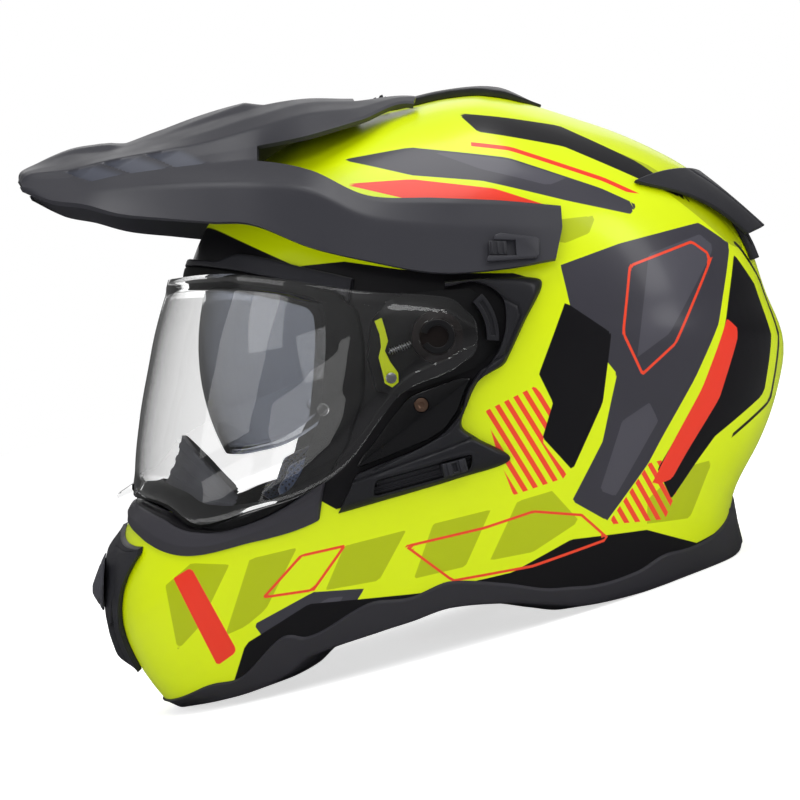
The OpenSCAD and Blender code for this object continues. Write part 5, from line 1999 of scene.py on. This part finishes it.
    def deflector(self) -> None:
        """The breath deflector: from the eye port's lower edge up to a bowed, stepped lip."""
        s, t = grid(np.linspace(-1, 1, 121), np.linspace(0, 1, 33))
        skins = []
        for off in self.shield_offs:
            foot = FORM.surface(FORM.eye_dir(180 + s * self.shield_spread), off)
            lip = np.stack(
                [-126 + 26 * s * s - (off + 14) * 0.9, foot[..., 1] * 0.82, -50 - 28 * s * s], -1
            )
            p = lerp(foot, lip, t[..., None])
            p[..., 0] += 6.4 * t * (1 - t) - 0.7 * ease(np.sin(t * 4 * 2 * math.pi) * 2)
            skins.append(p)
        Piece("nose_deflector", replaces=("breath_deflector",)).sheet(skins, Finish.NOSE, 0.4)

    def build(self, visor: Visor) -> None:
        """Makes the front's pieces.

        Args:
            visor: the visor, which the edge stays under.
        """
        self.brow(visor)
        self.band()
        self.vent()
        self.shutter()
        self.deflector()


@dataclass
class CrownParts:
    """The crown's air scoop and the rear spoiler."""

    seat: float = 0.3
    half: tuple = ((61, 13), (80, 14), (86, 20), (90, 31), (97, 31), (103, 12))
    reach: tuple[float, float] = (61.0, 102.8)
    blade: float = 2.4
    blade_front: float = 142.0
    blade_sweep: float = 11.6
    blade_back: float = 157.5
    blade_half: tuple[float, float] = (0.69, 0.44)

    def housing(self) -> None:
        """The air scoop: a low crowned hood with two side grooves."""
        s, a = grid(np.linspace(1, -1, 73), np.linspace(*self.reach, 85))
        table = np.array(self.half, float)
        share = s * np.interp(a, table[:, 0], table[:, 1]) / FORM.half_w
        hood = 3.4 * ease((a - 60) / 3) * (1 - ease((a - 92) / 10)) * bulge(s * 0.93, 3)
        groove = 0.9 * hump(np.abs(s) - 0.62, 0.06) * ease((a - 64) / 4)
        d = FORM.direction(a, share)
        rise = 1.8 + hood - groove * (1 - ease((a - 94) / 5))
        skins = [FORM.surface(d, off) for off in (self.seat, rise)]
        Piece("crown_scoop", replaces=("crown_vent_housing",)).sheet(skins, Finish.SPOILER, 0.3)

    def spoiler(self) -> None:
        """The rear blade by its angle about the head centre, side share and lift."""
        s, c = grid(np.linspace(1, -1, 161), np.linspace(0, 1, 45))
        angle = lerp(self.blade_front - self.blade_sweep * s * s, self.blade_back, c)
        share = s * lerp(*self.blade_half, c**1.4)
        lift = self.blade + 0.5 + 10 * c * c * (1 - 0.6 * s * s)
        d = FORM.direction(angle, share)
        crease = 0.8 * hump(np.abs(s) - 0.55, 0.02) * ease(c / 0.15)
        skins = [FORM.surface(d, off) for off in (lift - self.blade, lift - crease)]
        Piece("rear_blade", replaces=("rear_spoiler",)).sheet(skins, Finish.SPOILER, 0.6)

    def build(self) -> None:
        """Makes the crown's pieces."""
        self.housing()
        self.spoiler()


@dataclass(frozen=True)
class SmallPart:
    """A small moulding or metal part that keeps its CAD form, with rounded edges."""

    node: str
    finish: "Finish"
    edge: float = 0.3
    paired: bool = False

    def build(self, nodes: dict[str, Object]) -> None:
        """Makes the part, or one a side.

        Args:
            nodes: the frame's nodes by name.
        """
        ends = [f"_{side.label}" for side in Side] if self.paired else [""]
        for end in ends:
            node = nodes[self.node + end]
            Piece(f"fine_{self.node}{end}", node["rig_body"], (self.node + end,)).refine(
                node, self.finish, self.edge
            )


@dataclass
class HubRing:
    """A raised C-shaped rib on each pivot hub, open towards the face."""

    radii: tuple[float, float] = (5.3, 8.3)
    half_widths: tuple[float, float] = (135.0, 136.0)
    opening: tuple[float, float] = (-150.0, 165.0)

    def build(self) -> None:
        """Makes both ribs: a rounded oblong section turned round the hinge axis."""
        w = np.radians(np.linspace(*self.opening, 61))[:, None]
        r_in, r_out = self.radii
        y_in, y_out = self.half_widths
        r = np.array([r_in, r_out, r_out, r_in])
        y = np.array([y_in, y_in, y_out, y_out])
        corners = np.stack(np.broadcast_arrays(r * np.cos(w), -y, r * np.sin(w)), -1)
        sections = rounded_corners(corners, [0.2, 0.2, 0.5, 0.5], 4)
        for side in Side:
            Piece(f"hub_ring_{side.label}").tube(side.place(sections), Finish.PIVOT)


@dataclass
class PivotSpring:
    """The detent springs: a round wire wound between the lever and the plate."""

    start: tuple[float, float] = (-23.2, -7.4)
    stop: tuple[float, float] = (-12.6, -3.6)
    half_width: float = 126 + 0.9 + 0.3 + 1.7
    radius: float = 1.7
    wire: float = 0.32
    turns: int = 9
    per_turn: int = 28

    def build(self) -> None:
        """Makes both springs: sections of the wire along a helix, eight end to end a side."""
        a, b = (np.array([p[0], -self.half_width, p[1]]) for p in (self.start, self.stop))
        axis = unit(b - a)
        out = np.array([0.0, -1.0, 0.0])
        up = np.cross(axis, out)
        turn, round_wire = grid(
            np.linspace(0, self.turns, self.turns * self.per_turn + 1), np.arange(8) * math.pi / 4
        )
        w = (turn * 2 * math.pi)[..., None]
        radial = np.cos(w) * out + np.sin(w) * up
        middle = a + (b - a) * (turn / self.turns)[..., None] + radial * (self.radius - self.wire)
        r = round_wire[..., None]
        points = middle + self.wire * (np.cos(r) * radial - np.sin(r) * axis)
        for side in Side:
            sided("wound", "detent_spring", side).tube(side.place(points), Finish.STEEL)


@dataclass
class Padding:
    """The comfort lining: crown pad, cheek pads, neck roll and chin curtain."""

    liner_depth: float = 38.0
    quilt_pitch: float = 28.8
    crown_t: float = 8.0
    cheek_t: float = 26.0
    cheek_inset: float = 30.0
    cheek_x: tuple[float, float] = (-78.0, 22.0)
    cheek_low: tuple[float, float] = (-162.0, -125.0)
    cheek_high: tuple[float, float] = (-58.0, -40.0)
    seat: float = 0.3
    frames: int = 20
    pressure: float = 4.0
    roll_half: tuple[float, float] = (8.4, 11.8)
    roll_points: int = 40

    def puff(self, piece: Object, cap: float) -> None:
        """Blows a padded piece up with a cloth simulation and keeps the result.

        Args:
            piece: the closed pad, with a vertex group named seam that stays put.
            cap: the most that a point may move, in millimetres.
        """
        scene = bpy.context.scene
        start = np.empty(len(piece.data.vertices) * 3)
        piece.data.vertices.foreach_get("co", start)
        cloth = piece.modifiers.new("cloth", "CLOTH")
        cloth.settings.use_pressure = True
        cloth.settings.uniform_pressure_force = self.pressure
        cloth.settings.vertex_group_mass = "seam"
        cloth.settings.mass = 0.3
        cloth.settings.effector_weights.gravity = 0
        cloth.collision_settings.use_collision = False
        cloth.point_cache.frame_start, cloth.point_cache.frame_end = 1, self.frames
        for frame in range(1, self.frames + 1):
            scene.frame_set(frame)
        graph = bpy.context.evaluated_depsgraph_get()
        end = np.empty_like(start)
        piece.evaluated_get(graph).data.vertices.foreach_get("co", end)
        piece.modifiers.clear()
        scene.frame_set(1)
        move = (end - start).reshape(-1, 3)
        length = np.linalg.norm(move, axis=1, keepdims=True)
        kept = start.reshape(-1, 3) + move * np.minimum(1, cap * MM / np.maximum(length, 1e-9))
        piece.data.vertices.foreach_set("co", kept.ravel())
        piece.data.update()
        log.info("%s: cloth moved points by up to %.1f mm", piece.name,
                 1000 * float(np.minimum(length, cap * MM).max()))

    def pad(
        self, piece: Piece, skins: tuple[Points, Points], uv: Points, finish: "Finish",
        held: Points, cap: float, fill: float,
    ) -> None:
        """A padded piece between two skins, blown up between its held seams.

        Args:
            piece: name and nodes.
            skins: outer and inner grid.
            uv: places on the cloth in millimetres.
            finish: its cloth.
            held: from 0, free, to 1, sewn down, at each grid point.
            cap: the most that a point may move.
            fill: how full the pad is; not used.
        """
        made = piece.sheet(skins, finish, uv=uv)
        group = made.vertex_groups.new(name="seam")
        for index, weight in enumerate(np.tile(held.ravel(), 2).tolist()):
            if weight > 0.02:
                group.add([index], weight, "REPLACE")
        self.puff(made, cap)
        fine = made.modifiers.new("fine", "SUBSURF")
        fine.levels = fine.render_levels = 1
        apply_modifiers(made)
        made.data.shade_smooth()
        made.vertex_groups.clear()

    def crown(self) -> None:
        """The crown pad: quilted in five panels along the head, thinner at its edges."""
        u, v = grid(np.linspace(-72, 72, 61), np.linspace(1 / 16, 11 / 16, 41))
        a, b = u / 77.4, (v * 16 - 6) / 5.4
        dome = 0.5 + 0.4 * np.sqrt(bulge(a, 2) * bulge(b, 2))
        seam = hump(np.abs(u) % self.quilt_pitch - self.quilt_pitch / 2, 1.7)
        edge = np.maximum(np.abs(u) >= 71.9, np.abs(b) >= 0.92)
        d = FORM.grid_dir(u, v)
        depth = self.liner_depth + self.seat
        skins = (
            FORM.surface(d, -depth),
            FORM.surface(d, -depth - self.crown_t * (dome - 0.36 * seam * (1 - edge))),
        )
        uv = np.stack([u * 1.7, v * 260], -1)
        self.pad(Piece("crown_lining", replaces=("crown_pad",)), skins, uv, Finish.LINING,
                 np.clip(seam + edge, 0, 1), 2.0, 0.6)

    def cheek(self, side: Side) -> None:
        """A cheek pad: a cushion against the flank, with a sewn channel down its middle.

        Args:
            side: the side it is made for.
        """
        i, j = grid(np.linspace(-1, 1, 41), np.linspace(-1, 1, 37))
        a, b = (1 + i * (1 - 0.16 * j * j)) / 2, (1 + j * (1 - 0.14 * i * i)) / 2
        x = lerp(*self.cheek_x, a)
        z = lerp(lerp(*self.cheek_low, a), lerp(*self.cheek_high, a), b)
        y = np.maximum(62, FORM.side_y(x, z, -self.cheek_inset))
        puffed = (bulge(i / 1.06, 2.4) * bulge(j / 1.06, 2.4)) ** 0.6
        channel = hump(i, 0.07)
        crown = np.maximum(0.1, puffed * 0.95 - 0.2 * channel)
        skins = tuple(
            side.place(np.stack([x, -(y - depth * crown), z], -1))
            for depth in (-3.6, self.cheek_t - 5)
        )
        edge = np.maximum(np.abs(i) > 0.99, np.abs(j) > 0.99)
        self.pad(sided("soft", "cheek_pad", side), skins, np.stack([x, z], -1), Finish.MESH,
                 np.clip(channel + edge, 0, 1), 2.4, 0.7)

    def roll(self, shell: Shell) -> None:
        """The neck roll: an oval tube round the back of the opening, ribbed, ends domed.

        Args:
            shell: the shell that it follows.
        """
        u = ends_close(-88.8, 88.8, 300)
        c = shell.trim_in(u, shell.trim_flange - 6, shell.trim_flange_t + 12.5)
        out = unit((c - np.array([10, 0, 0])) * (1, 1, 0))
        swell = (0.75 + 0.25 * bulge(u / 95, 2)) * np.maximum(0.04, bulge(u / 88.9, 12))
        run = run_along(c)
        rib = 1 - 0.07 * (1 - np.abs(np.sin(run * math.pi / 6.0)))
        grow = (swell * rib)[:, None, None]
        w = (np.arange(self.roll_points) * 2 * math.pi / self.roll_points)[None, :, None]
        deep, tall = self.roll_half
        points = c[:, None] + out[:, None] * deep * grow * np.cos(w)
        points = points + np.array([0, 0, 1]) * tall * grow * np.sin(w)
        uv = np.stack(np.broadcast_arrays(run[:, None], w[..., 0] * 10), -1)
        roll = Piece("neck_padding", replaces=("neck_roll",)).tube(
            points, Finish.RIBBED, uv=uv
        )

    def curtain(self, shell: Shell) -> None:
        """The chin curtain: a woven sheet over the trim's flange, slightly rippled.

        Args:
            shell: the shell that it follows.
        """
        u, j = grid(np.linspace(150, 210, 121), np.linspace(0, 3, 25))
        ripple = 0.35 * np.sin(np.radians(u) * 40) * ease(j / 3)
        low = shell.trim_flange_t + 2 * self.seat + 0.6 * j + 0.2 + ripple * 0.5 + 0.2
        deep = shell.trim_flange - 3 + 8 * j
        skins = [shell.trim_in(u, deep, low), shell.trim_in(u, deep, low + 1.0)]
        uv = np.stack([u * 2.2, j * 8], -1)
        curtain = Piece("chin_curtain_cloth", replaces=("chin_curtain",)).sheet(
            skins, Finish.CURTAIN, uv=uv
        )

    def build(self, shell: Shell) -> None:
        """Makes the lining.

        Args:
            shell: the shell that it follows.
        """
        self.crown()
        for side in Side:
            self.cheek(side)
        self.roll(shell)
        self.curtain(shell)


@dataclass
class ChinStrap:
    """The chin strap's two halves, woven webbing along one route a side."""

    width: float = 25.0
    thick: float = 2.0
    route: tuple = (
        (40, 88, -84), (40, 84, -102), (38, 74, -117), (32, 60, -127), (19, 42, -132),
        (6, 26, -134), (-2.6, 13, -134.2), (-2.6, 3, -134.2),
    )

    def build(self) -> None:
        """Makes both halves: a flat section carried along the route, edges thinned."""
        centre = rail(self.route, np.linspace(0, len(self.route) - 1, 141))
        tangent = unit(np.gradient(centre, axis=0))
        lean = np.array([1, 0, 0.25])
        across = unit(lean - tangent * (tangent @ lean)[:, None])
        normal = np.cross(tangent, across)
        run = run_along(centre)
        i, w = grid(np.arange(len(centre)), ends_close(-1, 1, 16))
        half = self.thick / 2 * (1 - 0.55 * np.abs(w) ** 8)
        flat = centre[i] + across[i] * (w * self.width / 2)[..., None]
        skins = [flat + normal[i] * half[..., None], flat - normal[i] * half[..., None]]
        uv = np.stack([run[i], w * self.width / 2], -1)
        for side in Side:
            placed = [side.place(skin * (1, -1, 1)) for skin in skins]
            sided("woven", "chin_strap", side).sheet(placed, Finish.WEBBING, uv=uv)


@dataclass
class Stage:
    """Floor, light and the camera at the photograph's place."""

    target: tuple[float, float, float] = (-10.3, 0.0, -31.6)
    distance: float = 1578.0
    azimuth: float = math.radians(3.3)
    elevation: float = math.radians(0.45)
    half_frame_over_focal: float = 400 / 3000
    room_low: float = 0.03
    room_high: float = 0.42
    fill: float = 0.52
    floor_glow: float = 0.66
    sky: tuple[float, float] = (-0.35, 0.95)
    aim: tuple[float, float, float] = (0.0, 0.0, 0.16)

    def camera(self) -> None:
        """Places the camera level with the worn helmet, looking at its left side."""
        az, el = self.azimuth, self.elevation
        back = Vector((-math.sin(az) * math.cos(el), -math.cos(az) * math.cos(el), math.sin(el)))
        right = Vector((math.cos(az), -math.sin(az), 0.0))
        axes = [STANCE.turn(v) for v in (right, back.cross(right), back)]
        lens = bpy.data.cameras.new("camera")
        lens.sensor_fit = "HORIZONTAL"
        lens.angle = 2 * math.atan(self.half_frame_over_focal)
        lens.clip_start, lens.clip_end = 0.05, 50.0
        camera = put("camera", lens)
        place = Matrix([axes[0], axes[1], axes[2]]).transposed().to_4x4()
        spot = np.array(self.target) + np.array(back) * self.distance
        place.translation = Vector(STANCE.rest(spot))
        camera.matrix_world = place
        bpy.context.scene.camera = camera

    def softbox(
        self, name: str, place: Sequence[float], size: tuple[float, float], watts: float,
        mirrored: bool = True,
    ) -> None:
        """A rectangular soft light that faces the helmet.

        Args:
            name: the light's name.
            place: its centre in metres.
            size: width and height in metres.
            watts: its power.
            mirrored: whether glossy surfaces show it.
        """
        data = bpy.data.lights.new(name, "AREA")
        data.shape, data.size, data.size_y, data.energy = "RECTANGLE", *size, watts
        light = put(name, data)
        light.location = place
        light.visible_glossy = mirrored
        beam = Vector(self.aim) - light.location
        light.rotation_euler = beam.to_track_quat("-Z", "Y").to_euler()

    @staticmethod
    def looks_straight(tree: Tree, path: Node) -> Node:
        """Whether the camera looks at a point, or through clear sheets, with no mirroring.

        Args:
            tree: the node tree.
            path: its light path node.

        Returns:
            A node that gives one or zero.
        """
        rays = {0: path.outputs["Is Camera Ray"], 1: path.outputs["Is Transmission Ray"]}
        seen = add(tree, "Math", rays, operation="MAXIMUM")
        bounces = {0: path.outputs["Glossy Depth"], 1: 0.5}
        unmirrored = add(tree, "Math", bounces, operation="LESS_THAN")
        return add(tree, "Math", {0: seen, 1: unmirrored}, operation="MULTIPLY")

    def world(self) -> None:
        """White where the camera looks or looks through, darker towards what reflects it.

        Reflections see a sky whose brightness eases from a dark ground to a pale
        ceiling, so that black mouldings keep their depth.
        """
        world = bpy.data.worlds.new("studio")
        tree = blank(world)
        place = add(tree, "TexCoord").outputs["Generated"]
        height = add(tree, "SeparateXYZ", {"Vector": place}).outputs["Z"]
        ends = {"From Min": self.sky[0], "From Max": self.sky[1], "To Min": self.room_low,
                "To Max": self.room_high}
        rise = add(tree, "MapRange", {"Value": height, **ends}, interpolation_type="SMOOTHSTEP")
        room = add(tree, "Background", {"Strength": rise})
        backdrop = add(tree, "Background", {"Color": linear("FFFFFF"), "Strength": 1.0})
        fill = add(tree, "Background", {"Strength": self.fill})
        path = add(tree, "LightPath")
        lit = add(tree, "MixShader", {0: path.outputs["Is Diffuse Ray"], 1: room, 2: fill})
        both = add(tree, "MixShader", {0: self.looks_straight(tree, path), 1: lit, 2: backdrop})
        add(tree, "OutputWorld", {"Surface": both})
        bpy.context.scene.world = world

    def floor(self) -> None:
        """A plain pale floor, a disc whose rim lies far off.

        It glows a little where the camera sees it, so that it stays as pale far
        off as near by, and mirrors darker, so that black mouldings stay black.
        """
        made = bmesh.new()
        bmesh.ops.create_circle(made, cap_ends=True, radius=30.0, segments=96)
        mesh = bpy.data.meshes.new("floor")
        made.to_mesh(mesh)
        made.free()
        floor = put("floor", mesh)
        pale = bpy.data.materials.new("floor_lit_board")
        tree = blank(pale)
        white = add(tree, "BsdfPrincipled", {"Base Color": linear("FCFCFC"), "Roughness": 1.0})
        grey = add(tree, "BsdfDiffuse", {"Color": linear("6A6A6C")})
        glow = add(tree, "Emission", {"Strength": self.floor_glow})
        dark = add(tree, "Emission", {"Strength": 0.0})
        path = add(tree, "LightPath")
        seen = add(tree, "MixShader", {0: self.looks_straight(tree, path), 1: dark, 2: glow})
        bounces = {0: path.outputs["Glossy Depth"], 1: 0.0}
        mirrored = add(tree, "Math", bounces, operation="GREATER_THAN")
        board = add(tree, "MixShader", {0: mirrored, 1: white, 2: grey})
        both = add(tree, "AddShader", {0: board, 1: seen})
        add(tree, "OutputMaterial", {"Surface": both})
        mesh.materials.append(pale)

    def build(self) -> None:
        """Sets the camera, the lights, the surroundings and the floor."""
        bpy.context.scene.view_settings.view_transform = "Standard"
        self.camera()
        self.world()
        self.floor()
        self.softbox("overhead", (0.15, -0.25, 1.5), (1.3, 0.9), 12)
        self.softbox("front_left", (-1.7, -0.3, 1.0), (0.9, 0.9), 4, mirrored=False)
        self.softbox("front_low", (-1.2, -1.3, 0.35), (0.9, 0.6), 2.5, mirrored=False)
        self.softbox("rear_left", (1.5, -0.9, 0.8), (0.4, 1.3), 6)
        self.softbox("camera_side", (0.3, -2.2, 1.5), (1.4, 0.7), 9, mirrored=False)
        self.softbox("far_side", (0.2, 1.6, 0.9), (1.4, 1.0), 4)


NODE_FINISH: dict[str, Finish] = {"eps_liner": Finish.FOAM, "chin_eps": Finish.FOAM}
SMALL_PARTS: tuple[SmallPart, ...] = (
    SmallPart("pivot_base", Finish.PIVOT, 0.5, True),
    SmallPart("pivot_hub", Finish.HUB, 0.35, True),
    SmallPart("detent_lever", Finish.FLUO, 0.3, True),
    SmallPart("release_lever", Finish.BLACK, 0.5, True),
    SmallPart("peak_mount", Finish.VENT, 0.4, True),
    SmallPart("latch_cover", Finish.PEAK, 0.35, True),
    SmallPart("peak_latch", Finish.VENT, 0.25, True),
    SmallPart("rear_outlet_grille", Finish.VENT, 0.3),
    SmallPart("crown_vent_slider", Finish.VENT, 0.35),
    SmallPart("sun_visor_slider", Finish.VENT, 0.5),
    SmallPart("detent_pins", Finish.STEEL, 0.2),
    SmallPart("cover_screws", Finish.SCREW, 0.25),
    SmallPart("visor_pins", Finish.CLEAR, 0.4),
    SmallPart("sun_visor_pins", Finish.STEEL, 0.3),
    SmallPart("strap_rivets", Finish.STEEL, 0.5),
    SmallPart("buckle_body", Finish.BUCKLE, 0.7),
    SmallPart("buckle_lever", Finish.LEVER, 0.6),
)


def dress_nodes(nodes: dict[str, Object]) -> None:
    """Gives each CAD node that stays visible its finish, by name or by name without side.

    Args:
        nodes: the frame's nodes by name.
    """
    for name, node in nodes.items():
        stem = name.removesuffix("_left").removesuffix("_right")
        finish = NODE_FINISH.get(name) or NODE_FINISH.get(stem)
        if finish is None or node.hide_render:
            continue
        material = finish.get()
        for slot in node.material_slots:
            slot.material = material
        if not node.material_slots:
            node.data.materials.append(material)


def main() -> None:
    """Builds the camera and light, then every sub-assembly around the frame."""
    logging.basicConfig(level=logging.INFO, format="%(name)s %(message)s")
    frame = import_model()
    Stage().build()
    visor, shell = Visor(), Shell()
    shell.build(visor)
    visor.build()
    Peak().build()
    SidePods().build()
    FrontParts().build(visor)
    CrownParts().build()
    HubRing().build()
    PivotSpring().build()
    for part in SMALL_PARTS:
        part.build(frame["nodes"])
    Padding().build(shell)
    ChinStrap().build()
    dress_nodes(frame["nodes"])


if __name__ == "__main__":
    main()
